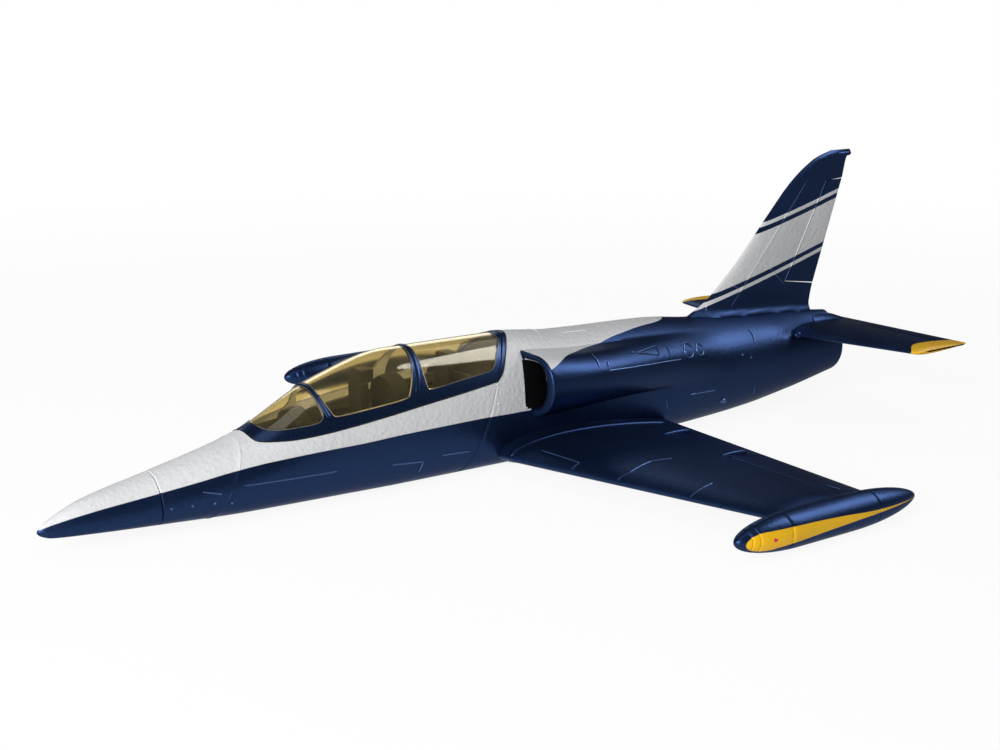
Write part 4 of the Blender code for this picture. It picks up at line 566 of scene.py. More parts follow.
class Fuselage:
    """The outside of the fuselage, with the intake cheeks."""

    def __init__(self) -> None:
        """Fits the curves through the stations and the hatch's edges."""
        self.rows = curves(STATIONS)
        self.rail = SmoothCurve(HATCH_RAIL)
        self.arch = SmoothCurve([(z, x) for x, z in HATCH_ARCH])

    def core(self, x: Array, angle: Array, inset: float = 0.0) -> tuple[Array, Array]:
        """A point of the plain section.

        Args:
            x: Stations.
            angle: Degrees, 90 at the crown and -90 at the keel.
            inset: How far the section is drawn in.
        Returns:
            The y and z there.
        """
        crown, keel, half, waist, square = (row(x) for row in self.rows)
        across = np.maximum(np.cos(np.radians(angle)), 0.0)
        up = np.sin(np.radians(angle))
        power = np.where(up >= 0, 1.0, 2 / square)
        reach = np.where(up >= 0, crown - inset - waist, waist - keel - inset)
        z = waist + reach * signed_power(up, power)
        return (half - inset) * across**power, np.maximum(z, BELLY_Z + inset)

    def half_width(self, x: Array, z: Array, inset: float = 0.0) -> Array:
        """Half width of the plain section above its waist.

        Args:
            x: Stations.
            z: Heights.
            inset: How far the section is drawn in.
        Returns:
            The y there.
        """
        crown, _, half, waist, _ = (row(x) for row in self.rows)
        share = np.clip((z - waist) / (crown - inset - waist), -1.0, 1.0)
        return (half - inset) * np.sqrt(1 - share**2)

    def cheek_outline(self, angle: Array, wall: float = 0.0) -> tuple[Array, Array]:
        """The intake lip's outline.

        Args:
            angle: The fuselage angle that a point belongs to.
            wall: How far inside the outline.
        Returns:
            The y and z there.
        """
        turn = math.pi / 2 - math.pi * (CHEEK_TOP_ANGLE - angle) / CHEEK_TOP_ANGLE
        power = np.where(turn > 0, 2 / CHEEK_SQUARENESS, 1.0)
        y = CHEEK_Y + (CHEEK_WIDTH - wall) * np.maximum(np.cos(turn), 0.0) ** power
        return y, CHEEK_Z + (CHEEK_HEIGHT - wall) * signed_power(np.sin(turn), power)

    def surface(
        self, x: Array, angle: Array, inset: float = 0.0, cheek: float = 0.0
    ) -> tuple[Array, Array]:
        """A point of the outside.

        Args:
            x: Stations.
            angle: Degrees, 90 at the crown and -90 at the keel.
            inset: How far the section is drawn in.
            cheek: How much of the intake bulge the section carries.
        Returns:
            The y and z there.
        """
        y, z = self.core(x, angle, inset)
        along = ease((x - PINCH_X[0]) / (PINCH_X[1] - PINCH_X[0]))
        up = ease((z - PINCH_Z[0]) / (PINCH_Z[1] - PINCH_Z[0]))
        y = y * (1 - PINCH * along * up)
        if cheek > 0:
            held = np.clip(angle, 0.0, CHEEK_TOP_ANGLE)
            base_y, base_z = self.core(np.full(len(angle), LIP_X), held)
            lip_y, lip_z = self.cheek_outline(held)
            above = (CHEEK_START_ANGLE - angle) / (CHEEK_START_ANGLE - CHEEK_TOP_ANGLE)
            below = (angle + CHEEK_FADE_ANGLE) / CHEEK_FADE_ANGLE
            share = cheek * np.clip(np.minimum(above, below), 0.0, 1.0)
            y = y + share * (lip_y - base_y)
            z = z + share * (lip_z - base_z)
        return y, z

    def cheek_share(self, x: float) -> float:
        """How much of the intake bulge is left at a station, from 1 at the lip."""
        return float(1.0 - ease((x - LIP_X) / CHEEK_LENGTH))

    def half_ring(
        self, angle: Array, place: Callable[[Array], Array], inset: float = 0.0, cheek: float = 0.0
    ) -> Array:
        """One side of a section whose station may change with height.

        Args:
            angle: Angles from the crown to the keel.
            place: Gives the station for the heights.
            inset: How far the section is drawn in.
            cheek: How much of the intake bulge it carries.
        Returns:
            Points with y at or above 0.
        """
        z = np.zeros(len(angle))
        for _ in range(8):
            y, z = self.surface(place(z), angle, inset, cheek)
        return merge(place(z), y, z)

    def ring(self, angle: Array, station: float, lean: float = 0.0, inset: float = 0.0) -> Array:
        """A closed section on a plane that may lean aft.

        Args:
            angle: Angles from the crown down.
            station: Where the plane crosses z = 0.
            lean: How far aft it leans for each step up.
            inset: How far the section is drawn in.
        Returns:
            The ring.
        """
        half = self.half_ring(angle, lambda z: station + lean * z, inset)
        half[0, 1] = 0.0
        closing = 1 if abs(half[-1, 1]) < 1e-6 else 0
        return np.concatenate([half, (half[::-1] * MIRROR)[closing:-1]])

    def side_point(self, side: Side, x: float, z: float, proud: float = 0.0) -> Triple:
        """The outside's place at a station and height.

        Args:
            side: Which side.
            x: Station.
            z: Height.
            proud: How far outside the skin.
        Returns:
            The point.
        """
        angle = np.linspace(89.0, -80.0, 400)
        share = self.cheek_share(x) if x >= LIP_X else 0.0
        y, level = self.surface(np.full(len(angle), x), angle, 0.0, share)
        near = np.abs(level - z) < 1.2
        return x, side.value * (float(np.max(np.where(near, y, 0.0))) + proud), z

    def arch_line(self) -> list[Pair]:
        """The hatch's rear edge in side view, from the rail up."""
        return [(float(self.arch(z)), z) for z in np.linspace(HATCH_ARCH[0][1], HATCH_ARCH[-1][1], 24)]

    def hatch_outline(self, shrink: float = 0.0) -> Array:
        """The hatch in side view, closed well above the canopy.

        Args:
            shrink: How far inside the opening.
        Returns:
            Points as x and z.
        """
        rail = [(x, float(self.rail(x))) for x in np.linspace(HATCH_RAIL[0][0], HATCH_RAIL[-1][0], 70)]
        top = [(HATCH_ARCH[-1][0], HATCH_TOP_Z), (HATCH_TIP[0][0], HATCH_TOP_Z)]
        return offset(np.array([*HATCH_TIP, *rail, *self.arch_line()[1:], *top]), -shrink)


class Graph:
    """A short way to write shader nodes into a tree."""

    def __init__(self, tree: NodeTree) -> None:
        """Works on a node tree."""
        self.tree = tree

    def node(self, kind: str, **settings: object) -> Node:
        """Adds a node.

        Args:
            kind: The node's type, without its Shader prefix.
            settings: Properties to set on it.
        Returns:
            The node.
        """
        node = self.tree.nodes.new("ShaderNode" + kind)
        for key, value in settings.items():
            setattr(node, key, value)
        return node

    def feed(self, socket: Socket, value: object) -> None:
        """Links a socket, or sets its constant.

        Args:
            socket: The input.
            value: An output socket or a constant.
        """
        if isinstance(value, Socket):
            self.tree.links.new(value, socket)
        elif isinstance(value, tuple) and len(value) == 3 and socket.type == "RGBA":
            socket.default_value = (*value, 1.0)
        else:
            socket.default_value = value

    def fill(self, node: Node, *values: object, **named: object) -> Node:
        """Feeds several inputs of a node.

        Args:
            node: The node.
            values: Values for its first inputs, in order.
            named: Values for inputs by name, with _ for spaces.
        Returns:
            The node.
        """
        for i, value in enumerate(values):
            self.feed(node.inputs[i], value)
        for key, value in named.items():
            self.feed(node.inputs[key.replace("_", " ")], value)
        return node

    def math(self, operation: str, a: object, b: object = 0.0, clamp: bool = False) -> Socket:
        """A sum of two values, which may be held between 0 and 1."""
        return self.fill(self.node("Math", operation=operation, use_clamp=clamp), a, b).outputs[0]

    def plus(self, a: object, b: object) -> Socket:
        """The sum of two values."""
        return self.math("ADD", a, b)

    def minus(self, a: object, b: object) -> Socket:
        """The difference of two values."""
        return self.math("SUBTRACT", a, b)

    def times(self, a: object, b: object) -> Socket:
        """The product of two values."""
        return self.math("MULTIPLY", a, b)

    def most(self, a: object, b: object) -> Socket:
        """The larger of two values."""
        return self.math("MAXIMUM", a, b)

    def spot(self) -> Socket:
        """The shaded point in the object's own space."""
        return self.node("TexCoord").outputs["Object"]

    def parts(self, vector: Socket) -> Sequence[Socket]:
        """The x, y and z of a vector."""
        return self.fill(self.node("SeparateXYZ"), vector).outputs

    def shade(self, colour: object, value: object) -> Socket:
        """A colour made lighter or darker."""
        return self.fill(self.node("HueSaturation"), Color=colour, Value=value).outputs[0]

    def mix(self, factor: object, a: object, b: object) -> Socket:
        """Mixes two colours.

        Args:
            factor: Share of the second.
            a: First colour.
            b: Second colour.
        Returns:
            The colour's socket.
        """
        node = self.node("Mix", data_type="RGBA")
        for i, value in ((0, factor), (6, a), (7, b)):
            self.feed(node.inputs[i], value)
        return node.outputs[2]

    def span(
        self, value: object, low: float, high: float, start: float = 0.0, end: float = 1.0
    ) -> Socket:
        """A value that goes smoothly from start to end as another goes from low to high."""
        node = self.node("MapRange", interpolation_type="SMOOTHSTEP")
        return self.fill(node, value, low, high, start, end).outputs[0]

    def step(self, value: object, soft: float) -> Socket:
        """Turns from 0 to 1 where a value passes 0."""
        return self.span(value, -soft, soft)

    def profile(self, value: object, points: Line) -> Socket:
        """Reads a curve through points.

        Args:
            value: Place along the curve.
            points: Places and values.
        Returns:
            The value's socket.
        """
        first, reach = points[0][0], points[-1][0] - points[0][0]
        levels = [p[1] for p in points]
        low, rise = min(levels), max(levels) - min(levels)
        node = self.node("FloatCurve")
        curve = node.mapping.curves[0]
        pairs = [((x - first) / reach, (v - low) / rise) for x, v in points]
        curve.points[0].location = pairs[0]
        curve.points[1].location = pairs[-1]
        for pair in pairs[1:-1]:
            curve.points.new(*pair)
        node.mapping.update()
        self.feed(node.inputs[1], self.math("DIVIDE", self.minus(value, first), reach, clamp=True))
        return self.plus(self.times(node.outputs[0], rise), low)

    def group(self, name: str, **inputs: object) -> Node:
        """A shared node group, with values for its inputs."""
        return self.fill(self.node("Group", node_tree=bpy.data.node_groups[name]), **inputs)


class EffectLibrary:
    """Shared shader effects, as node groups."""

    SILVER_EDGE = (
        (0, -26.0), (17, -21.0), (47, -15.0), (79, -10.6), (95, -8.5), (129, -3.8), (163, 1.2), (197, 4.6),
        (246, 7.0), (279, 7.6), (317, 9.1), (358, 9.8), (399, 10.3), (442, 9.8), (470, 9.8),
    )
    SPINE_EDGE = (
        (459, 72.0), (464, 71.0), (495, 54.9), (532, 36.2), (562, 27.3), (590, 22.0), (618, 16.8),
        (640, 13.1), (652, 8.0), (660, 0.0),
    )
    SPINE_Z = (40.0, 41.0)
    RIM_Y = (27.0, 29.0)
    RIM_X = (LIP_X + 2.2, LIP_X + 1.6)
    FIN_BANDS = ((96.0, 100.0), (105.0, 147.0), (152.0, 156.0))
    FIN_BAND_X = 830.0
    FIN_BAND_SLOPE = 0.24
    TANK_UPPER = ((449, -22.2), (480, -22.2), (525, -23.8), (574, -27.0), (626, -28.9))
    TANK_LOWER = ((449, -38.0), (482, -35.0), (526, -32.0), (574, -29.9), (626, -29.2))
    TANK_FRONT = (449.0, -30.1)
    TANK_FRONT_REACH = (20.0, 7.9)
    TIP_EDGE = ((846, 165.0), (851, 161.0), (858, 155.5), (870, 151.5), (890, 151.0), (929, 152.5))
    SOFT = 0.3
    BEAD_SCALE = 230.0
    BEAD_BEND = 0.0022
    BEND_SCALE = 90.0
    CREASE_WIDTH = 0.12
    CREASE_DEPTH = 0.12
    SWELL = 0.8
    FLAKE_SCALE = 2600.0
    THREAD_PITCH = 1.1

    def __init__(self, shift: Vector) -> None:
        """Makes every group.

        Args:
            shift: The frame's place of the aircraft's origin.
        """
        self.shift = shift
        self.make_place()
        self.make_beads()
        self.make_flake()
        self.make_handling()
        self.make_weave()
        masks = {
            "silver_front": self.front_mask, "silver_spine": self.spine_mask, "fin_bands": self.fin_mask,
            "tank_stripe": self.tank_mask, "tip_band": self.tip_mask,
        }
        for name, mask in masks.items():
            graph, _, out = self.start(name, (), {"Mask": "Float"})
            graph.fill(out, mask(graph, graph.group("aircraft_place").outputs))

    def start(
        self, name: str, inputs: Sequence[tuple[str, str, object]], outputs: dict[str, str]
    ) -> tuple[Graph, Sequence[Socket], Node]:
        """Begins a group.

        Args:
            name: Its name.
            inputs: Name, kind and default of each input.
            outputs: Kind of each output, by name.
        Returns:
            The graph, the group's inputs and its output node.
        """
        tree = bpy.data.node_groups.new(name, "ShaderNodeTree")
        for label, kind, default in inputs:
            socket = tree.interface.new_socket(label, in_out="INPUT", socket_type="NodeSocket" + kind)
            socket.default_value = default
        for label, kind in outputs.items():
            tree.interface.new_socket(label, in_out="OUTPUT", socket_type="NodeSocket" + kind)
        return Graph(tree), tree.nodes.new("NodeGroupInput").outputs, tree.nodes.new("NodeGroupOutput")

    def make_place(self) -> None:
        """Aircraft millimetres at the shaded point."""
        graph, _, out = self.start("aircraft_place", (), dict.fromkeys("XYZ", "Float"))
        scaled = graph.node("VectorMath", operation="MULTIPLY_ADD")
        graph.fill(scaled, graph.spot(), (1 / MM,) * 3, tuple(-value / MM for value in self.shift))
        graph.fill(out, *graph.parts(scaled.outputs[0]))

    def make_beads(self) -> None:
        """Moulded foam: shallow domed cells with soft borders."""
        graph, given, out = self.start("foam_beads", (("Depth", "Float", 1.0),), {"Height": "Float"})
        spot = graph.spot()
        bend = graph.fill(graph.node("TexNoise"), Vector=spot, Scale=self.BEND_SCALE)
        moved = graph.node("VectorMath", operation="MULTIPLY_ADD")
        graph.fill(moved, bend.outputs["Color"], (self.BEAD_BEND,) * 3, spot)
        away = []
        for feature in ("DISTANCE_TO_EDGE", "SMOOTH_F1"):
            cells = graph.node("TexVoronoi", feature=feature)
            away.append(graph.fill(cells, Vector=moved.outputs[0], Scale=self.BEAD_SCALE).outputs["Distance"])
        crease = graph.times(graph.span(away[0], 0.0, self.CREASE_WIDTH), self.CREASE_DEPTH)
        swell = graph.times(graph.minus(1.0, away[1]), self.SWELL)
        graph.fill(out, graph.times(graph.plus(crease, swell), given["Depth"]))

    def make_flake(self) -> None:
        """Metallic paint: fine flakes that shift the colour and the roughness."""
        grey = (0.5, 0.5, 0.5, 1.0)
        inputs = (("Colour", "Color", grey), ("Glint", "Float", 0.3), ("Roughness", "Float", 0.4))
        graph, given, out = self.start("paint_flake", inputs, {"Colour": "Color", "Roughness": "Float"})
        flakes = graph.fill(graph.node("TexVoronoi"), Vector=graph.spot(), Scale=self.FLAKE_SCALE)
        value = graph.fill(graph.node("SeparateColor"), flakes.outputs["Color"])
        shift = graph.times(graph.minus(value.outputs[0], 0.5), given["Glint"])
        rough = graph.math("ADD", graph.times(shift, 0.25), given["Roughness"], clamp=True)
        graph.fill(out, graph.shade(given["Colour"], graph.plus(shift, 1.0)), rough)

    def make_handling(self) -> None:
        """Broad uneven sheen from spraying and handling."""
        inputs = (("Amount", "Float", 0.1),)
        graph, given, out = self.start("handling_sheen", inputs, {"Shade": "Float", "Roughness": "Float"})
        cloud = graph.fill(graph.node("TexNoise"), Vector=graph.spot(), Scale=16.0, Detail=5.0)
        amount = graph.times(graph.minus(cloud.outputs[0], 0.5), given["Amount"])
        graph.fill(out, graph.plus(amount, 1.0), amount)

    def make_weave(self) -> None:
        """Plain weave: threads along the band and across it, over and under."""
        graph, _, out = self.start("plain_weave", (), {"Height": "Float"})
        x, y, z = graph.group("aircraft_place").outputs
        turns = 2 * math.pi / self.THREAD_PITCH
        warp = graph.math("SINE", graph.times(graph.plus(y, z), turns))
        weft = graph.math("SINE", graph.times(x, turns))
        graph.fill(out, graph.step(graph.times(warp, weft), 1.0))

    def front_mask(self, graph: Graph, at: Sequence[Socket]) -> Socket:
        """Silver above the long edge on the nose and the cockpit sides."""
        return graph.step(graph.minus(at[2], graph.profile(at[0], self.SILVER_EDGE)), 0.35)

    def spine_mask(self, graph: Graph, at: Sequence[Socket]) -> Socket:
        """Silver shoulders ahead of the intakes, and a silver wedge along the spine.

        Args:
            graph: The group's graph.
            at: The place as x, y and z.
        Returns:
            The mask.
        """
        ahead = graph.times(self.front_mask(graph, at), graph.span(at[0], LIP_X, LIP_X - 0.6))
        out = graph.math("ABSOLUTE", at[1])
        wedge = graph.minus(graph.profile(at[0], self.SPINE_EDGE), out)
        top = graph.times(graph.step(wedge, 0.4), graph.span(at[2], *self.SPINE_Z))
        rim = graph.times(graph.span(out, *self.RIM_Y), graph.span(at[0], *self.RIM_X))
        return graph.most(ahead, graph.times(top, graph.minus(1.0, rim)))

    def fin_mask(self, graph: Graph, at: Sequence[Socket]) -> Socket:
        """One broad and two narrow plain bands across the fin and rudder.

        Args:
            graph: The group's graph.
            at: The place as x, y and z.
        Returns:
            The mask.
        """
        level = graph.minus(at[2], graph.times(graph.minus(at[0], self.FIN_BAND_X), self.FIN_BAND_SLOPE))
        total = 0.0
        for low, high in self.FIN_BANDS:
            above = graph.step(graph.minus(level, low), self.SOFT)
            below = graph.step(graph.minus(high, level), self.SOFT)
            total = graph.most(total, graph.times(above, below))
        return total

    def tank_mask(self, graph: Graph, at: Sequence[Socket]) -> Socket:
        """A wedge stripe that tapers to the tail of the tank.

        Args:
            graph: The group's graph.
            at: The place as x, y and z.
        Returns:
            The mask.
        """
        wedge = graph.minus(at[0], self.TANK_FRONT[0])
        under = graph.minus(graph.profile(at[0], self.TANK_UPPER), at[2])
        over = graph.minus(at[2], graph.profile(at[0], self.TANK_LOWER))
        for limit in (under, over):
            wedge = graph.math("MINIMUM", wedge, limit)
        squares = []
        for axis, centre, reach in zip((0, 2), self.TANK_FRONT, self.TANK_FRONT_REACH):
            away = graph.math("DIVIDE", graph.minus(at[axis], centre), reach)
            squares.append(graph.times(away, away))
        apart = graph.math("SQRT", graph.plus(*squares))
        front = graph.times(graph.minus(1.0, apart), self.TANK_FRONT_REACH[1])
        outboard = graph.span(graph.math("ABSOLUTE", at[1]), TANK_Y - 1.0, TANK_Y - 0.4)
        return graph.times(graph.step(graph.most(wedge, front), self.SOFT), outboard)

    def tip_mask(self, graph: Graph, at: Sequence[Socket]) -> Socket:
        """A coloured tailplane tip with a curved inner edge."""
        edge = graph.profile(at[0], self.TIP_EDGE)
        return graph.step(graph.minus(graph.math("ABSOLUTE", at[1]), edge), self.SOFT)


@dataclass(frozen=True)
class Coat:
    """One paint: its colour and how it reflects."""

    colour: Triple
    metallic: float
    roughness: float
    glint: float
    beads: float


NAVY = Coat((0.0128, 0.029, 0.084), 0.82, 0.36, 0.4, 0.3)
SILVER = Coat((0.565, 0.57, 0.58), 0.05, 0.52, 0.16, 1.3)
YELLOW = Coat((0.74, 0.42, 0.008), 0.0, 0.42, 0.05, 0.35)
# Lighter coats for raised lines and marks: a painted highlight of the light their tops catch.
NAVY_PAINTED_HIGHLIGHT = Coat((0.060, 0.110, 0.26), 0.6, 0.3, 0.2, 0.0)
SILVER_PAINTED_HIGHLIGHT = Coat((0.78, 0.785, 0.79), 0.4, 0.36, 0.1, 0.0)


@dataclass(frozen=True)
class Livery:
    """Two paints and the mask that tells them apart; without a mask the first covers all."""

    mask: str | None
    first: Coat = NAVY
    second: Coat = SILVER


@dataclass(frozen=True)
class Stuff:
    """A bare material: its colour, how it reflects and its surface texture."""

    colour: Triple
    metallic: float = 0.0
    roughness: float = 0.5
    grain: float = 900.0
    grain_depth: float = 0.15
    variation: float = 0.12
    stretch: Triple = (1.0, 1.0, 1.0)
    specular: float = 0.5


class Finish(Enum):
    """Every finish on the model: its name, the record's slot and, where it has one, its recipe."""

    FRONT = ("front_paint", "silver_foam", Livery("silver_front"))
    # The finishes for raised lines in this list use the lighter coats, a painted highlight on their tops.
    FRONT_RIDGE = ("front_ridge", "silver_foam", Livery("silver_front", NAVY_PAINTED_HIGHLIGHT, SILVER_PAINTED_HIGHLIGHT))
    REAR = ("rear_paint", "blue_foam", Livery("silver_spine"))
    REAR_RIDGE = ("rear_ridge", "blue_foam", Livery("silver_spine", NAVY_PAINTED_HIGHLIGHT, SILVER_PAINTED_HIGHLIGHT))
    WING = ("wing_paint", "blue_foam", Livery(None))
    WING_RIDGE = ("wing_ridge", "blue_foam", Livery(None, NAVY_PAINTED_HIGHLIGHT))
    FIN = ("fin_paint", "blue_foam", Livery("fin_bands"))
    FIN_RIDGE = ("fin_ridge", "blue_foam", Livery("fin_bands", NAVY_PAINTED_HIGHLIGHT, SILVER_PAINTED_HIGHLIGHT))
    TAIL = ("tail_paint", "blue_foam", Livery("tip_band", second=YELLOW))
    TANK = ("tank_paint", "blue_foam", Livery("tank_stripe", second=YELLOW))
    FRAME = ("frame_paint", "frame_gloss", None)
    GLASS = ("amber_glass", "amber_glazing", None)
    STRAP = ("strap_weave", "strap_fabric", None)
    # Pale beads round the panes: a painted highlight of the pane edges.
    TRIM = ("pane_trim", "frame_gloss", Stuff((0.13, 0.115, 0.07), 0.2, 0.28, 700.0, 0.05))
    RAW = ("raw_foam", "silver_foam", Stuff((0.80, 0.80, 0.79), 0.0, 0.8, 230.0, 0.5))
    # Near-black lining for the intake ducts and the tailplane tips' end line: painted shade.
    DUCT = ("duct_black", "blue_foam", Stuff((0.002, 0.002, 0.003), 0.0, 0.85, 260.0, 0.3, specular=0.08))
    COCKPIT = ("cockpit_grey", "cockpit_dark", Stuff((0.045,) * 3, 0.0, 0.6, 1400.0, 0.2, specular=0.2))
    SEAT = ("seat_black", "cockpit_dark", Stuff((0.008, 0.008, 0.009), 0.0, 0.55, 1200.0, 0.3, specular=0.25))
    DIAL = ("dial_face", "cockpit_dark", Stuff((0.30, 0.31, 0.29), 0.0, 0.4, 900.0, 0.05))
    RED_LENS = ("red_lens", "black_plastic", Stuff((0.55, 0.012, 0.010), 0.0, 0.15, 500.0, 0.02))
    GREEN_LENS = ("green_lens", "black_plastic", Stuff((0.01, 0.30, 0.05), 0.0, 0.15, 500.0, 0.02))
    PLASTIC = ("moulded_black", "black_plastic", Stuff((0.016, 0.016, 0.018), 0.0, 0.42, 1800.0, 0.2))
    NYLON = ("white_nylon", "white_nylon", Stuff((0.68, 0.68, 0.66), 0.0, 0.38, 1500.0, 0.1))
    STEEL = ("bright_steel", "steel", Stuff((0.56, 0.56, 0.58), 1.0, 0.24, 600.0, 0.06, 0.1, (0.1, 1.0, 1.0)))
    ALUMINIUM = (
        "turned_aluminium", "aluminium",
        Stuff((0.70, 0.71, 0.73), 1.0, 0.28, 900.0, 0.1, 0.1, (6.0, 1.0, 1.0)),
    )
    CARBON = ("carbon_tube", "carbon", Stuff((0.018, 0.018, 0.020), 0.1, 0.28, 420.0, 0.3, 0.6))
    PLYWOOD = (
        "birch_ply", "plywood", Stuff((0.50, 0.34, 0.17), 0.0, 0.6, 420.0, 0.25, 0.35, (0.08, 1.0, 1.0)),
    )
    BATTERY = ("battery_sleeve", "battery_wrap", Stuff((0.022, 0.045, 0.12), 0.0, 0.22, 120.0, 0.25, 0.2))
    PIPE = ("pipe_grey", "pipe_grey", Stuff((0.10, 0.10, 0.11), 0.2, 0.4, 700.0, 0.1))

    @property
    def slot(self) -> str:
        """The record's material slot."""
        return self.value[1]


class PaintShop:
    """Makes each finish once."""

    PAINT_TINT = (0.5, 0.52, 0.58)
    GLOSS_TINT = (0.42, 0.46, 0.55)
    AMBER = (0.80, 0.68, 0.38)
    THREADS = ((0.008, 0.008, 0.009), (0.030, 0.030, 0.033))
    LIGHT_LET_IN = 0.8

    def __init__(self, shift: Vector) -> None:
        """Makes the shared effects round the frame's place of the aircraft's origin."""
        EffectLibrary(shift)
        self.made: dict[Finish, Material] = {}

    def get(self, finish: Finish) -> Material:
        """Gives a finish's material.

        Args:
            finish: Which one.
        Returns:
            The material, made on first use.
        """
        if finish not in self.made:
            name, _, recipe = finish.value
            material = self.made[finish] = bpy.data.materials.new(name)
            material.use_nodes = True
            graph, shader = Graph(material.node_tree), material.node_tree.nodes["Principled BSDF"]
            if isinstance(recipe, Livery):
                self.painted(graph, shader, recipe)
            elif isinstance(recipe, Stuff):
                self.bare(graph, shader, recipe)
            else:
                special = {Finish.FRAME: self.gloss, Finish.GLASS: self.glass, Finish.STRAP: self.woven}
                special[finish](graph, shader)
        return self.made[finish]

    @staticmethod
    def raised(graph: Graph, height: Socket, strength: float, depth: float) -> Socket:
        """A normal that follows a height with a depth in metres."""
        return graph.fill(graph.node("Bump"), Strength=strength, Distance=depth, Height=height).outputs[0]

    def painted(self, graph: Graph, shader: Node, livery: Livery) -> None:
        """Sprayed foam in one paint, with a second where the livery's mask says so.

        Args:
            graph: The material's graph.
            shader: Its Principled node.
            livery: The paints and their mask.
        """
        first, second = livery.first, livery.second
        mask = graph.group(livery.mask).outputs["Mask"] if livery.mask else None

        def blend(field: str) -> Socket | float:
            """One value of the two paints.

            Args:
                field: Its name in Coat.
            Returns:
                A socket that follows the mask, or the first paint's constant.
            """
            start, end = getattr(first, field), getattr(second, field)
            return graph.plus(graph.times(mask, end - start), start) if mask else start

        sheen = graph.group("handling_sheen", Amount=0.22).outputs
        colour = graph.mix(mask, first.colour, second.colour) if mask else first.colour
        uneven = graph.shade(colour, sheen["Shade"])
        rough = graph.plus(blend("roughness"), sheen["Roughness"])
        flake = graph.group("paint_flake", Colour=uneven, Glint=blend("glint"), Roughness=rough).outputs
        beads = graph.group("foam_beads", Depth=blend("beads")).outputs["Height"]
        graph.fill(
            shader,
            Base_Color=flake["Colour"],
            Roughness=flake["Roughness"],
            Metallic=blend("metallic"),
            Specular_IOR_Level=0.3,
            Specular_Tint=self.PAINT_TINT,
            Normal=self.raised(graph, beads, strength=0.45, depth=0.001),
        )

    def gloss(self, graph: Graph, shader: Node) -> None:
        """The canopy frame's glossy navy.

        Args:
            graph: The material's graph.
            shader: Its Principled node.
        """
        flake = graph.group("paint_flake", Colour=NAVY.colour, Glint=0.3, Roughness=0.3).outputs
        sheen = graph.group("handling_sheen", Amount=0.3).outputs["Shade"]
        graph.fill(
            shader,
            Base_Color=flake["Colour"],
            Roughness=flake["Roughness"],
            Metallic=0.8,
            Coat_Weight=graph.times(sheen, 0.12),
            Coat_Roughness=0.12,
            Specular_Tint=self.GLOSS_TINT,
        )

    def glass(self, graph: Graph, shader: Node) -> None:
        """Amber tinted glazing with faint dust, which lets the lamps' light in.

        Args:
            graph: The material's graph.
            shader: Its Principled node.
        """
        sheen = graph.group("handling_sheen", Amount=0.12).outputs
        let_in = graph.times(graph.node("LightPath").outputs["Is Shadow Ray"], self.LIGHT_LET_IN)
        graph.fill(
            shader,
            Base_Color=graph.shade(self.AMBER, sheen["Shade"]),
            Roughness=graph.math("ADD", sheen["Roughness"], 0.06, clamp=True),
            Transmission_Weight=1.0,
            IOR=1.42,
            Alpha=graph.minus(1.0, let_in),
        )

    def woven(self, graph: Graph, shader: Node) -> None:
        """Dark woven webbing.

        Args:
            graph: The material's graph.
            shader: Its Principled node.
        """
        height = graph.group("plain_weave").outputs["Height"]
        sheen = graph.group("handling_sheen", Amount=0.4).outputs["Shade"]
        worn = graph.shade(graph.mix(height, *self.THREADS), sheen)
        normal = self.raised(graph, height, strength=0.8, depth=0.0004)
        graph.fill(shader, Base_Color=worn, Roughness=0.85, Normal=normal)

    def bare(self, graph: Graph, shader: Node, stuff: Stuff) -> None:
        """A moulded, metal or wooden material.

        Args:
            graph: The material's graph.
            shader: Its Principled node.
            stuff: What it is.
        """
        stretched = graph.fill(graph.node("VectorMath", operation="MULTIPLY"), graph.spot(), stuff.stretch)
        noise = graph.fill(graph.node("TexNoise"), Vector=stretched.outputs[0], Scale=stuff.grain, Detail=4.0)
        swing = graph.minus(noise.outputs[0], 0.5)
        graph.fill(
            shader,
            Base_Color=graph.shade(stuff.colour, graph.plus(graph.times(swing, stuff.variation * 4), 1.0)),
            Roughness=graph.math("ADD", graph.times(swing, 0.2), stuff.roughness, clamp=True),
            Metallic=stuff.metallic,
            Specular_IOR_Level=stuff.specular,
            Normal=self.raised(graph, noise.outputs[0], stuff.grain_depth, depth=0.0006),
        )


class Tooling(Enum):
    """What a tool shape does to an object."""

    ADD = "UNION"
    CUT = "DIFFERENCE"
    LIMIT = "INTERSECT"


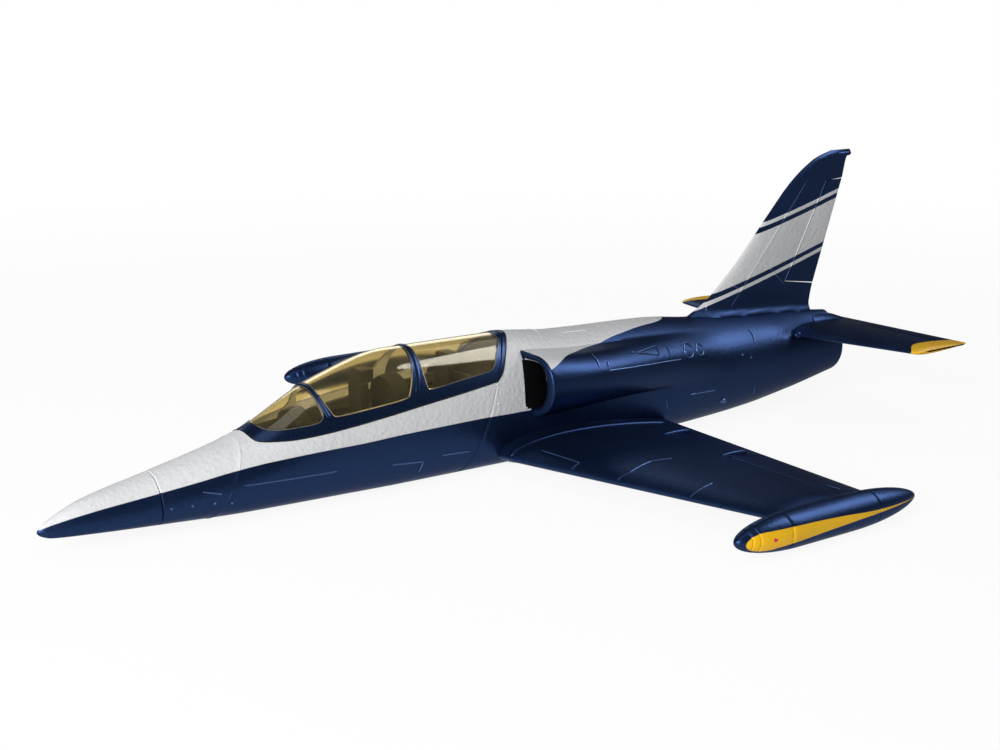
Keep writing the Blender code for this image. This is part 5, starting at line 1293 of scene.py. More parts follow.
class Workshop:
    """Turns shapes into pieces that ride on the frame."""

    def __init__(self) -> None:
        """Finds the aircraft's origin in the frame and gets the paints ready."""
        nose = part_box("nose_cone")[0]
        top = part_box("fin")[1]
        self.shift = Vector((nose.x, 0.0, top.z - FIN_TOP * MM))
        self.paints = PaintShop(self.shift)
        self.body = Fuselage()

    def node_box(self, node: str, grow: float = 0.0) -> tuple[Array, Array]:
        """Lowest and highest corner of a CAD node in aircraft millimetres, grown all round."""
        low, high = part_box(node)
        return np.array((low - self.shift) / MM) - grow, np.array((high - self.shift) / MM) + grow

    def solid(self, name: str, shape: Shape, finish: Finish) -> Object:
        """Makes a mesh object.

        Args:
            name: Its name.
            shape: Its mesh.
            finish: Its finish.
        Returns:
            The object.
        """
        mesh = bpy.data.meshes.new(name)
        points = shape.points * MM + np.array(self.shift)
        mesh.from_pydata(points.tolist(), [], shape.faces)
        bm = bmesh.new()
        bm.from_mesh(mesh)
        bmesh.ops.remove_doubles(bm, verts=bm.verts, dist=1e-7)
        bmesh.ops.recalc_face_normals(bm, faces=bm.faces)
        bm.to_mesh(mesh)
        bm.free()
        mesh.materials.append(self.paints.get(finish))
        obj = bpy.data.objects.new(name, mesh)
        bpy.context.scene.collection.objects.link(obj)
        return obj

    def shape_of(self, obj: Object) -> Shape:
        """Reads an object's mesh back into aircraft millimetres."""
        points = np.array([vertex.co for vertex in obj.data.vertices]) - np.array(self.shift)
        return Shape(points / MM, [tuple(polygon.vertices) for polygon in obj.data.polygons])

    def change(self, obj: Object, shape: Shape, finish: Finish, how: Tooling = Tooling.CUT) -> None:
        """Cuts an object with a shape, adds the shape or keeps only what lies inside it.

        Args:
            obj: The object, which gets a new mesh.
            shape: The tool.
            finish: Finish of the new faces.
            how: What is done.
        """
        tool = self.solid(obj.name + "_tool", shape, finish)
        change = obj.modifiers.new("change", "BOOLEAN")
        change.operation = how.value
        change.solver = "EXACT"
        change.material_mode = "TRANSFER"
        change.object = tool
        graph = bpy.context.evaluated_depsgraph_get()
        mesh = bpy.data.meshes.new_from_object(obj.evaluated_get(graph))
        obj.modifiers.clear()
        old, obj.data = obj.data, mesh
        bpy.data.meshes.remove(old)
        bpy.data.objects.remove(tool)
        if not mesh.polygons:
            raise RuntimeError(f"{obj.name} came out empty")

    def room(
        self, obj: Object, node: str, gap: float, less: Triple = (0, 0, 0), more: Triple = (0, 0, 0)
    ) -> None:
        """Cuts room for a CAD node, with a gap all round and further reach below and above its box."""
        low, high = self.node_box(node, gap)
        self.change(obj, Shape.box(low - np.array(less), high + np.array(more)), Finish.RAW)

    def fit(
        self, obj: Object, finish: Finish, *nodes: str, body: str = "airframe", sharp: float = 38.0
    ) -> Object:
        """Smooths a piece and seats it on the frame.

        Args:
            obj: The piece.
            finish: Not used.
            nodes: CAD nodes that it stands for.
            body: The CAD body that it rides on.
            sharp: Edges over this many degrees stay sharp.
        Returns:
            The piece.
        """
        obj.data.shade_smooth()
        obj.data.set_sharp_from_angle(angle=math.radians(sharp))
        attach(obj, body)
        if nodes:
            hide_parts(*nodes)
        LOG.info("%s rides on %s", obj.name, body)
        return obj

    def piece(
        self, name: str, shape: Shape, finish: Finish, *nodes: str, body: str = "airframe"
    ) -> Object:
        """Makes a piece straight from a shape and fits it."""
        return self.fit(self.solid(name, shape, finish), finish, *nodes, body=body)


@dataclass
class Builder:
    """A sub-assembly that is made in the workshop."""

    shop: Workshop

    @property
    def skin(self) -> Fuselage:
        """The fuselage's outside."""
        return self.shop.body


FULL_ANGLES = np.linspace(90.0, -90.0, 61)
TOP_ANGLES = np.linspace(90.0, 4.0, 58)
REAR_ANGLES = np.concatenate(
    [
        np.linspace(90.0, CHEEK_START_ANGLE, 14),
        np.linspace(CHEEK_START_ANGLE, CHEEK_TOP_ANGLE, 6)[1:],
        np.linspace(CHEEK_TOP_ANGLE, 0.0, 36)[1:],
        np.linspace(0.0, -90.0, 27)[1:],
    ]
)
HATCH_BODY = "canopy_hatch"
UP = np.array((0.0, 0.0, 1.0))
ACROSS = np.array((0.0, 1.0, 0.0))


def beads(
    lines: Sequence[Line], steps: int, place: Callable[[float, float], Triple], radius: float, last: bool = True
) -> list[Shape]:
    """Raised beads along lines, which place puts on a surface."""
    return [Shape.tube([place(*point) for point in walk(line, steps, last)], radius) for line in lines]


@dataclass
class FrontFuselage(Builder):
    """Nose cone and cockpit tub."""

    lean: Line = (
        (97, 0.0), (125, 0.0), (155, 0.5), (168, 0.5), (215, 0.0), (300, 0.0),
        (395, SEAM_LEAN), (408, SEAM_LEAN),
    )
    joint_depth: float = 1.1
    joint_width: float = 1.0
    panel_ring_x: float = 163.4
    ring_height: float = 0.35
    ring_half: Pair = (0.4, 1.0)
    seam_edge: float = 0.8
    section_step: float = 4.5
    front_reach: Pair = (103.0, 160.0)
    rear_reach: Pair = (168.0, 405.0)
    bay_stations: Triple = (130.0, 471.0, 10.0)
    line_radius: float = 0.65
    side_lines: Sequence[Line] = (
        ((166.0, -11.3), (252.0, -12.6)),
        ((307.0, -16.7), (340.0, -19.4)),
        ((360.0, -17.0), (391.0, -18.4)),
        ((131.0, -11.3), (146.5, -15.4)),
        ((340.0, -19.4), (338.0, -29.0)),
    )
    dots: Line = (
        (104.4, -21.5), (121.8, -21.6), (140.5, -22.5), (155.6, -24.7), (423.0, 21.0), (424.0, 38.0),
    )
    dot_size: Triple = (1.1, 0.6, 1.1)

    def build(self) -> None:
        """Makes the nose, the tub and their lines."""
        stations = (NOSE_JOINT_X - self.joint_width) * np.linspace(0.06, 1.0, 34) ** 1.8
        rings = [self.skin.ring(FULL_ANGLES, x) for x in stations]
        rings.append(self.skin.ring(FULL_ANGLES, NOSE_JOINT_X - GAP / 2, 0.0, self.joint_depth))
        self.shop.piece("nose_skin", Shape.loft(rings), Finish.FRONT, "nose_cone")
        self.tub()
        for side in Side:
            self.lines(side)

    def tub(self) -> None:
        """The tub with its equipment bay and the opening under the hatch."""
        lean = SmoothCurve(self.lean)
        ridge, height, (top, foot) = self.panel_ring_x, self.ring_height, self.ring_half
        rows = [(NOSE_JOINT_X + GAP / 2, self.joint_depth), (NOSE_JOINT_X + self.joint_width, 0.0)]
        rows += [(x, 0.0) for x in np.arange(*self.front_reach, self.section_step)]
        rows += [(ridge - foot, 0.0), (ridge - top, -height), (ridge + top, -height), (ridge + foot, 0.0)]
        rows += [(x, 0.0) for x in np.arange(*self.rear_reach, self.section_step)]
        rows += [(SEAM_X - self.seam_edge, 0.0), (SEAM_X - GAP / 2, GROOVE)]
        rings = [self.skin.ring(FULL_ANGLES, x, float(lean(x)), inset) for x, inset in rows]
        tub = self.shop.solid("front_skin", Shape.loft(rings), Finish.FRONT)
        self.shop.change(tub, Shape.plate(self.skin.hatch_outline()), Finish.RAW)
        bay = [self.skin.ring(FULL_ANGLES, x, 0.0, FOAM_WALL) for x in np.arange(*self.bay_stations)]
        self.shop.change(tub, Shape.loft(bay), Finish.RAW)
        self.shop.fit(tub, Finish.FRONT, "front_fuselage", sharp=30.0)

    def lines(self, side: Side) -> None:
        """Raised lines and dots of the moulding, in a lighter coat that is a painted highlight.

        Args:
            side: Which side.
        """
        shapes = beads(self.side_lines, 23, partial(self.skin.side_point, side), self.line_radius)
        shapes += [Shape.dome(self.skin.side_point(side, *dot), self.dot_size) for dot in self.dots]
        self.shop.piece(side.label + "_side_lines", Shape.together(shapes), Finish.FRONT_RIDGE)


def magnet_rod(start: float, end: float) -> Shape:
    """A bar through the magnets' seats, square to the hatch's rear arch.

    Args:
        start: Its first end, measured aft from the arch.
        end: Its other end.
    Returns:
        The solid.
    """
    (x0, z0), (x1, z1) = HATCH_ARCH[1:3]
    middle = np.array((between((x0, x1), MAGNET_SHARE), 0.0, between((z0, z1), MAGNET_SHARE)))
    aft = unit(np.array((z1 - z0, 0.0, x0 - x1)))
    return Shape.rod(middle + aft * start, middle + aft * end, MAGNET_RADIUS + GAP)


@dataclass
class RearFuselage(Builder):
    """The two moulded halves with intakes, ducts, wing stubs and moulded marks."""

    lip_steps: Sequence[float] = (0.0, 0.35, 0.7, 1.05, 1.4, math.pi / 2)
    stations: Triple = (466.0, 897.0, 6.0)
    tail_round: Pair = (0.7, 0.6)
    mouth_flare: Line = (
        (-0.8, 0.9), (0.0, 1.4), (0.3, 2.6), (0.9, 4.3), (1.8, 5.7), (3.2, 6.7), (5.0, 7.2), (7.0, LIP_WALL),
    )
    ledge_points: int = 5
    arc_points: int = 30
    inner_points: int = 16
    inner_clearance: float = 0.3
    lead_fade: Triple = (14.0, 46.0, 1.6)
    fan_flat: float = 2.2
    bore: Line = (
        (FAN_FACE_X - 0.3, 31.8), (594.3, 31.8), (594.3, 29.8), (641.0, 29.8), (641.0, 29.5),
        (TAIL_X + 2, 25.3),
    )
    tray_room: tuple[Triple, Triple] = ((380.0, -22.0, -38.0), (488.0, 22.0, 14.0))
    screw_hole: Pair = (-60.0, 3.2)
    magnet_seat: Pair = (-2.0, 3.3)
    mark_radius: float = 0.55
    mark_sink: float = 0.1
    mark_lines: Sequence[Line] = (
        ((530.5, 50.0), (529.0, 42.3), (576.0, 39.1), (618.0, 36.5), (637.0, 35.1)),
        ((654.0, -3.9), (692.0, -5.7)),
        ((621.4, -4.9), (624.9, -14.7)),
        ((752.7, -12.4), (756.6, -21.2)),
        ((576.4, 50.6), (608.2, 51.5), (605.3, 44.0), (576.4, 50.6)),
        ((622.0, 49.5), (621.5, 39.2)),
        ((755.0, 46.5), (756.6, 40.1), (754.1, 32.3)),
        ((519.0, 57.0), (517.5, 47.0)),
    )
    mark_rings: Sequence[Triple] = ((651.5, 41.0, 6.6), (669.5, 39.2, 5.6))
    ring_opening: float = 0.3
    mark_dots: Line = ((570.6, 51.5), (732.0, 24.5), (744.5, 20.1))
    dot_size: Triple = (1.2, 0.8, 1.2)
    scoop: Pair = (708.6, -20.3)
    scoop_size: Triple = (4.0, 1.8, 2.4)
    spine_lines: Sequence[Line] = (
        ((492.0, -18.0), (496.0, -9.0), (497.0, 0.0), (496.0, 9.0), (492.0, 18.0)),
        ((520.6, -11.8), (556.0, -12.4)),
        ((520.6, 11.8), (556.0, 12.4)),
    )
    spine_sink: float = 0.05

    def build(self) -> None:
        """Makes both halves."""
        for side in Side:
            half = self.shop.solid(f"rear_skin_{side.label}", Shape.loft(self.half_rings(side)), Finish.REAR)
            self.shop.change(half, self.stub(side), Finish.REAR, Tooling.ADD)
            self.shop.change(half, self.lip(side), Finish.REAR)
            # Near-black walls in the duct: a painted shade of the intake's depth.
            self.shop.change(half, self.duct(side), Finish.DUCT)
            low, high = self.shop.node_box(side.label + "_wing_screw", GAP)
            floor, radius = self.screw_hole
            rooms = (
                Shape.turned(self.bore, (0, 0, THRUST_Z)),
                Shape.box(*self.tray_room),
                Shape.turned(((floor, radius), (high[2], radius)), (low + high) / 2, 24, 2),
                magnet_rod(*self.magnet_seat),
            )
            for room in rooms:
                self.shop.change(half, room, Finish.RAW)
            self.shop.fit(half, Finish.REAR, "rear_fuselage_" + side.label, sharp=32.0)
            self.marks(side)
        # The spine's lines take a lighter coat, a painted highlight on their tops.
        spine = beads(self.spine_lines, 8, self.spine_point, self.mark_radius, last=False)
        self.shop.piece("spine_marks", Shape.together(spine), Finish.REAR_RIDGE)

    def ahead(self, share: float, z: Array) -> Array:
        """Stations ahead of the lip; the half begins at the seam below and at the hatch arch above.

        Args:
            share: Share of the way from the half's front edge to the lip.
            z: Heights.
        Returns:
            Stations.
        """
        seam = SEAM_X + GAP / 2 + SEAM_LEAN * z
        front = np.where(z < HATCH_ARCH[0][1], seam, np.maximum(self.skin.arch(z), seam))
        return between((front, LIP_X), share)

    def half_rings(self, side: Side) -> list[Array]:
        """Sections of one half, from the seam to the tail.

        Args:
            side: Which half.
        Returns:
            Closed rings with a flat inner side.
        """
        shares = ((0.0, GROOVE), (0.02, 0.0), *((share, 0.0) for share in np.linspace(0.08, 1.0, 13)))
        rows = [(partial(self.ahead, share), inset, 0.0) for share, inset in shares]
        for turn in self.lip_steps:
            cheek = 1 - LIP_ROUND / CHEEK_WIDTH * (1 - math.sin(turn))
            rows.append((LIP_X + LIP_ROUND * (1 - math.cos(turn)), 0.0, cheek))
        rows += [(x, 0.0, self.skin.cheek_share(x)) for x in np.arange(*self.stations)]
        rows += [(TAIL_X - self.tail_round[0], 0.0, 0.0), (TAIL_X, self.tail_round[1], 0.0)]
        rings = []
        for x, inset, cheek in rows:
            place = x if callable(x) else partial(np.full_like, fill_value=x)
            ring = self.skin.half_ring(REAR_ANGLES, place, inset, cheek)
            ring[:, 1] = np.maximum(ring[:, 1], GAP / 2) * side.value
            rings.append(ring)
        return rings

    def mouth_outline(self, wall: float, recess: float) -> Array:
        """The intake's opening: the lip outside, the fuselage's own side inside.

        Args:
            wall: Thickness of the lip at its top.
            recess: How far the inner side lies under the fuselage's side.
        Returns:
            Points as y and z: a ledge at the top, the lip's arc, then the inner side.
        """
        arc_y, arc_z = self.skin.cheek_outline(np.linspace(CHEEK_TOP_ANGLE, 0.0, self.arc_points), wall)
        slim = (CHEEK_WIDTH - LIP_SIDE_SHARE * wall) / (CHEEK_WIDTH - wall)
        arc_y = CHEEK_Y + (arc_y - CHEEK_Y) * slim
        heights = np.linspace(arc_z[-1], arc_z[0], self.inner_points)
        side = self.skin.half_width(np.full(self.inner_points, LIP_X), heights) - recess
        inner = np.minimum(side, CHEEK_Y - self.inner_clearance)
        ledge = np.linspace(inner[-1], arc_y[0], self.ledge_points + 2)[1:-1]
        return np.array([*((y, arc_z[0]) for y in ledge), *zip(arc_y, arc_z), *zip(inner, heights)])

    def fan_outline(self) -> Array:
        """The half of the fan's bore that the opening turns into.

        Returns:
            Points as y and z, in the same order as the opening's.
        """
        low, top, flat = THRUST_Z - FAN_RADIUS, THRUST_Z + FAN_RADIUS, self.fan_flat
        points = [(0.5 * i, top) for i in range(self.ledge_points)]
        for turn in np.linspace(math.pi / 2, -math.pi / 2, self.arc_points):
            y = flat + (FAN_RADIUS - flat) * math.cos(turn)
            points.append((y, THRUST_Z + FAN_RADIUS * math.sin(turn)))
        return np.array(points + [(0.0, z) for z in np.linspace(low, top, self.inner_points)])

    @staticmethod
    def section(side: Side, x: Array | float, outline: Array) -> Array:
        """A ring from an outline of y and z, at one station or one for each point."""
        return merge(x, side.value * outline[:, 0], outline[:, 1])

    def lip(self, side: Side) -> Shape:
        """The rounded inside of the lip on one side, which keeps the outside's paint."""
        flare = [(LIP_X + step, self.mouth_outline(wall, -MOUTH_RECESS)) for step, wall in self.mouth_flare]
        return Shape.loft([self.section(side, x, outline) for x, outline in flare])

    def duct(self, side: Side) -> Shape:
        """The air's way from the mouth to the fan; its inner side starts ahead of the lip, lower down.

        Args:
            side: Which half.
        Returns:
            The solid to cut out.
        """
        mouth, fan = self.mouth_outline(LIP_WALL + 0.03, MOUTH_RECESS), self.fan_outline()
        low, reach, power = self.lead_fade
        fall = np.clip((mouth[:, 1] - low) / reach, 0.0, 1.0)
        lead = MOUTH_LEAD * (1 - fall**power)
        lead[: -self.inner_points] = 0.0
        rings = [(LIP_X - 1.0 - lead, mouth), (LIP_X + 5.0 - lead * 0.2, mouth)]
        for x in np.linspace(LIP_X + 10, DUCT_MERGE_X, 18):
            share = ease((x - LIP_X - 6) / (DUCT_MERGE_X - LIP_X - 6))
            rings.append((x, between((mouth, fan), share)))
        rings.append((FAN_FACE_X + 1.0, fan))
        return Shape.loft([self.section(side, x, outline) for x, outline in rings])

    def stub(self, side: Side) -> Shape:
        """The faired wing root.

        Args:
            side: Which half.
        Returns:
            The solid.
        """
        points = aerofoil(WING_CHORD[0], WING_THICKNESS, WING_CAMBER)
        share = np.clip(points[:, 0] / WING_CHORD[0], 0.0, 1.0)
        upper = np.sign(len(points) // 2 - 0.5 - np.arange(len(points)))
        bulge = upper * np.sqrt(np.sin(math.pi * share))
        rings = []
        for y in (STUB_INNER_Y, *np.linspace(WING_Y[0] - STUB_FLARE_LENGTH, WING_Y[0], 12)):
            flare = STUB_FLARE * min((WING_Y[0] - y) / STUB_FLARE_LENGTH, 1.0) ** 2
            z = WING_Z[0] + points[:, 1] + flare * bulge
            rings.append(merge(WING_LE[0] + points[:, 0], side.value * y, z))
        return Shape.loft(rings)

    def marks(self, side: Side) -> None:
        """Raised lines, rings, dots and the small scoop of the moulding, in a lighter coat that is a painted
        highlight.

        Args:
            side: Which half.
        """
        sunk = partial(self.skin.side_point, side, proud=-self.mark_sink)
        shapes = beads(self.mark_lines, 12, sunk, self.mark_radius)
        turns = np.linspace(self.ring_opening, 2 * math.pi - self.ring_opening, 28)
        for x, z, radius in self.mark_rings:
            path = [sunk(x + radius * math.cos(turn), z + radius * math.sin(turn)) for turn in turns]
            shapes.append(Shape.tube(path, self.mark_radius))
        for spot, size in (*((dot, self.dot_size) for dot in self.mark_dots), (self.scoop, self.scoop_size)):
            shapes.append(Shape.dome(self.skin.side_point(side, *spot), size))
        self.shop.piece(side.label + "_moulded_marks", Shape.together(shapes), Finish.REAR_RIDGE)

    def spine_point(self, x: float, y: float) -> Triple:
        """A point just under the top of the spine.

        Args:
            x: Station.
            y: Distance from the centre line.
        Returns:
            The point.
        """
        angle = np.linspace(90.0, 40.0, 200)
        out, up = self.skin.surface(np.full(len(angle), x), angle, 0.0, self.skin.cheek_share(x))
        return x, y, float(np.interp(abs(y), out, up)) - self.spine_sink


@dataclass
class CanopyHatch(Builder):
    """The lift-off hatch: frame, three panes and pale beads round them, which are painted highlights of the
    pane edges.
    """

    reach: Pair = (180.5, 462.0)
    hollow_reach: Pair = (192.0, 462.0)
    section_step: float = 3.5
    lining_start: float = 190.0
    lining_x: float = 398.0
    lining_overlap: float = 0.5
    magnet_seat: Pair = (-3.6, 1.0)
    trim_radius: float = 0.32
    gasket_radius: float = 0.55
    bead_step: float = 0.8
    bow_rows: int = 24
    bow_height: float = 0.9
    bow_sink: float = 0.25
    bows: Sequence[tuple[float, Line]] = (
        (2.0, ((250.4, 34.0), (247.8, 42.0), (246.3, 48.0), (245.4, 57.0), (245.4, 70.0))),
        (2.5, ((339.0, 43.0), (343.7, 57.0), (346.4, 68.0), (348.2, 78.0), (348.6, 84.0))),
        (1.9, ((428.8, 47.5), (435.0, 56.0), (441.3, 65.5), (448.0, 72.8), (453.5, 79.0))),
    )
    studs: Line = ((248.0, 50.0), (347.5, 48.0), (347.0, 60.0), (437.0, 68.5), (430.0, 52.0))
    stud_size: Triple = (1.1, 0.8, 1.1)

    def build(self) -> None:
        """Makes the hatch."""
        frame = self.shop.solid("hatch_frame", self.shell(0.0, self.reach), Finish.FRAME)
        self.shop.change(frame, Shape.plate(self.skin.hatch_outline(GAP)), Finish.FRAME, Tooling.LIMIT)
        self.hollow(frame)
        for outline in WINDOWS.values():
            self.shop.change(frame, Shape.plate(rounded(outline)), Finish.FRAME)
        self.shop.change(frame, magnet_rod(*self.magnet_seat), Finish.FRAME)
        self.shop.fit(frame, Finish.FRAME, "canopy_frame", body=HATCH_BODY, sharp=32.0)
        for name, outline in WINDOWS.items():
            self.pane(name, outline)
        # A black bead round the hatch's edge: the dark seam, with a painted shadow under the frame's edge.
        self.border("hatch_gasket", self.skin.hatch_outline(), self.gasket_radius, Finish.SEAT)
        for i, bow in enumerate(self.bows, 1):
            self.shop.piece(f"hatch_bow_{i}", self.bow(*bow), Finish.FRAME, body=HATCH_BODY)
        shapes = []
        for x, z in self.studs:
            y = float(self.skin.half_width(x, z))
            shapes += [Shape.dome((x, side.value * y, z), self.stud_size) for side in Side]
        self.shop.piece("hatch_studs", Shape.together(shapes), Finish.FRAME, body=HATCH_BODY)

    def shell(self, inset: float, reach: Pair) -> Shape:
        """The fuselage's outside over the hatch, drawn in, from a first to a last station."""
        stations = np.linspace(*reach, int((reach[1] - reach[0]) / self.section_step))
        return Shape.loft([self.skin.ring(TOP_ANGLES, x, 0.0, inset) for x in stations])

    def hollow(self, frame: Object) -> None:
        """Hollows the frame, with a pale lining in front and a dark one behind.

        Args:
            frame: The frame.
        """
        arch = [(x - HATCH_BULKHEAD, z) for x, z in self.skin.arch_line()]
        start, rear = self.lining_start, self.lining_x
        front = rear + self.lining_overlap
        rooms = {
            Finish.RAW: [(start, BELLY_Z), (front, BELLY_Z), (front, HATCH_TOP_Z), (start, HATCH_TOP_Z)],
            Finish.SEAT: [
                (rear, BELLY_Z), (arch[0][0], BELLY_Z), *arch,
                (arch[-1][0], HATCH_TOP_Z), (rear, HATCH_TOP_Z),
            ],
        }
        for lining, outline in rooms.items():
            room = self.shop.solid("hatch_hollow", self.shell(HATCH_WALL, self.hollow_reach), lining)
            self.shop.change(room, Shape.plate(outline), lining, Tooling.LIMIT)
            self.shop.change(frame, self.shop.shape_of(room), lining)
            bpy.data.objects.remove(room)

    def bow(self, half: float, line: Line) -> Shape:
        """A rounded rib over the canopy, from side to side.

        Args:
            half: Half of its width.
            line: Its middle in side view, from the sill up past the crown.
        Returns:
            The solid.
        """
        low, top = line[0][1], float(self.skin.rows[0](line[-2][0])) - 0.05
        heights = between((low, top), np.sin(np.linspace(0.0, math.pi / 2, self.bow_rows)))
        places = SmoothCurve([(z, x) for x, z in line])(heights)
        crown, _, wide, waist, _ = (row(places) for row in self.skin.rows)
        width = self.skin.half_width(places, heights)
        port = merge(places, -width, heights)
        face = merge(0.0, -width / wide**2, (heights - waist) / (crown - waist) ** 2)
        path, out = (np.concatenate([side, (side * MIRROR)[-2::-1]]) for side in (port, face))
        rings = []
        for point, tangent, normal in zip(path, np.gradient(path, axis=0), out):
            across, normal = unit(np.cross(tangent, normal)), unit(normal)
            oval = Shape.disc(16, half * across, self.bow_height * normal)
            rings.append(point - normal * self.bow_sink + oval)
        return Shape.loft(rings)

    def pane(self, name: str, outline: Line) -> None:
        """One blown pane and a pale bead round its opening, a painted highlight of the pane's edge.

        Args:
            name: The CAD node.
            outline: The opening in side view.
        """
        edge = rounded(outline)
        first, last = min(x for x, _ in outline) - 4, max(x for x, _ in outline) + 4
        pane = self.shop.solid(name + "_glass", self.shell(GLASS_SETBACK, (first, last)), Finish.GLASS)
        self.shop.change(pane, Shape.plate(offset(edge, -GAP)), Finish.GLASS, Tooling.LIMIT)
        inside = self.shell(GLASS_SETBACK + GLASS_THICKNESS, (first - 2, last + 2))
        self.shop.change(pane, inside, Finish.GLASS)
        self.shop.fit(pane, Finish.GLASS, name, body=HATCH_BODY, sharp=40.0)
        self.border(name + "_trim", edge, self.trim_radius, Finish.TRIM)

    def border(self, name: str, edge: Array, radius: float, finish: Finish) -> None:
        """A thin bead along an outline on the skin, over the top and down both sides.

        Args:
            name: The bead's name.
            edge: The outline in side view.
            radius: The bead's radius.
            finish: Its finish.
        """
        steps = []
        for ends in zip(edge, np.roll(edge, -1, axis=0)):
            count = max(int(np.linalg.norm(ends[1] - ends[0]) / self.bead_step), 1)
            steps += [between(ends, i / count) for i in range(count)]
        points = np.array(steps)
        below = points[:, 1] < self.skin.rows[0](points[:, 0]) - 0.15
        start = int(np.argmax(below & ~np.roll(below, 1)))
        x, z = np.roll(points, -start, axis=0)[: int(below.sum())].T
        port = merge(x, -self.skin.half_width(x, z, 0.05), z)
        loop = np.concatenate([port, port[::-1] * MIRROR, port[:1]])
        self.shop.piece(name, Shape.tube(loop, radius), finish, body=HATCH_BODY)


@dataclass
class Cockpit(Builder):
    """Instrument panels and seats under the glass."""

    hood: Line = ((-9.0, 0.90), (-4.0, 0.97), (1.0, 1.0), (5.5, 1.0))
    hood_foot: float = 0.8
    hood_shoulder: float = 0.45
    dial_rows: Sequence[tuple[float, int]] = ((0.34, 3), (0.62, 3), (0.84, 1))
    dial_spacing: float = 0.52
    dial_radius: float = 0.17
    dial_x: float = 5.4
    seat_back: float = 0.63
    seat_rounding: float = 1.6

    def build(self) -> None:
        """Makes what shows through the panes."""
        for place in ("front", "rear"):
            self.panel(place + "_instrument_panel")
        for place in ("front", "rear"):
            self.seat(place + "_seat")

    def panel(self, name: str) -> None:
        """A hooded panel with round dials.

        Args:
            name: The CAD node.
        """
        (front, _, base), (_, half, top) = self.shop.node_box(name)
        shoulder = between((base, top), self.hood_shoulder)
        turn = np.linspace(0.0, math.pi, 21)
        rings = []
        for step, scale in self.hood:
            foot = half * self.hood_foot * scale
            y = np.concatenate([(-foot, foot), half * scale * np.cos(turn)])
            z = np.concatenate([(base, base), shoulder + (top - shoulder) * np.sin(turn) * scale])
            rings.append(merge(front + step, y, z))
        self.shop.piece(name + "_hood", Shape.loft(rings), Finish.SEAT, name, body=HATCH_BODY)
        x, rim = front + self.dial_x, half * self.dial_radius
        profile = ((x, rim), (x + 0.8, rim), (x + 0.9, rim * 0.7))
        dials = []
        for height, count in self.dial_rows:
            for i in range(count):
                y = (i - (count - 1) / 2) * half * self.dial_spacing
                dials.append(Shape.turned(profile, (0, y, between((base, top), height)), 24))
        self.shop.piece(name + "_dials", Shape.together(dials), Finish.DIAL, body=HATCH_BODY)

    def seat(self, name: str) -> None:
        """A bucket seat with side bolsters and a head box.

        Args:
            name: The CAD node.
        """
        (front, _, low), (rear, _, top) = self.shop.node_box(name)
        back = between((front, rear), self.seat_back)
        parts = (
            ((front, -11.0, low), (back + 4, 11.0, low + 8.5)),
            ((back, -10.5, low + 3), (rear - 6, 10.5, top - 11)),
            ((back + 1.0, -9.0, top - 12.0), (rear, 9.0, top)),
            ((front + 2, -13.0, low + 1), (rear - 7, -10.4, low + 15)),
            ((front + 2, 10.4, low + 1), (rear - 7, 13.0, low + 15)),
        )
        shape = Shape.together([Shape.box(*corners) for corners in parts])
        seat = self.shop.solid(name + "_bucket", shape, Finish.SEAT)
        bevel = seat.modifiers.new("round", "BEVEL")
        bevel.width = self.seat_rounding * MM
        bevel.segments = 3
        bevel.limit_method = "ANGLE"
        self.shop.fit(seat, Finish.SEAT, name, body=HATCH_BODY, sharp=50.0)


@dataclass(frozen=True)
class Hinge:
    """A control surface: hinge point, trailing point and nose radius at its two ends, and the way up."""

    ends: Sequence[tuple[Array, Array, float]]
    normal: Array

    def solid(self, rows: int = 14, trim: float = 0.0) -> Shape:
        """The surface: a round nose about the hinge, then straight to the trailing edge.

        Args:
            rows: Sections along the span.
            trim: Share of the span that is left off at each end, as room to swing.
        Returns:
            The solid.
        """
        turn = np.linspace(math.pi / 2, 1.5 * math.pi, 17)
        edge = TRAILING_HALF * self.normal
        rings = []
        for share in np.linspace(trim, 1.0 - trim, rows):
            hinge, trail, radius = (between(pair, share) for pair in zip(*self.ends))
            round_off = np.outer(np.cos(turn), unit(trail - hinge)) + np.outer(np.sin(turn), self.normal)
            rings.append(np.concatenate([hinge + radius * round_off, [trail - edge, trail + edge]]))
        return Shape.loft(rings)

    def bay(self, axes: Sequence[int]) -> list[Array]:
        """The room that the surface swings in, past the trailing edge.

        Args:
            axes: The two axes of the view.
        Returns:
            Its four corners in that view.
        """
        step = END_GAP * unit(self.ends[1][0] - self.ends[0][0])
        inner, outer = [], []
        for (hinge, trail, radius), sign in zip(self.ends, (-1, 1)):
            aft = unit(trail - hinge)
            inner.append(hinge + sign * step - aft * (radius + NOSE_GAP))
            outer.append(trail + sign * step + aft * BAY_REACH)
        return [corner[list(axes)] for corner in (*inner, *outer[::-1])]


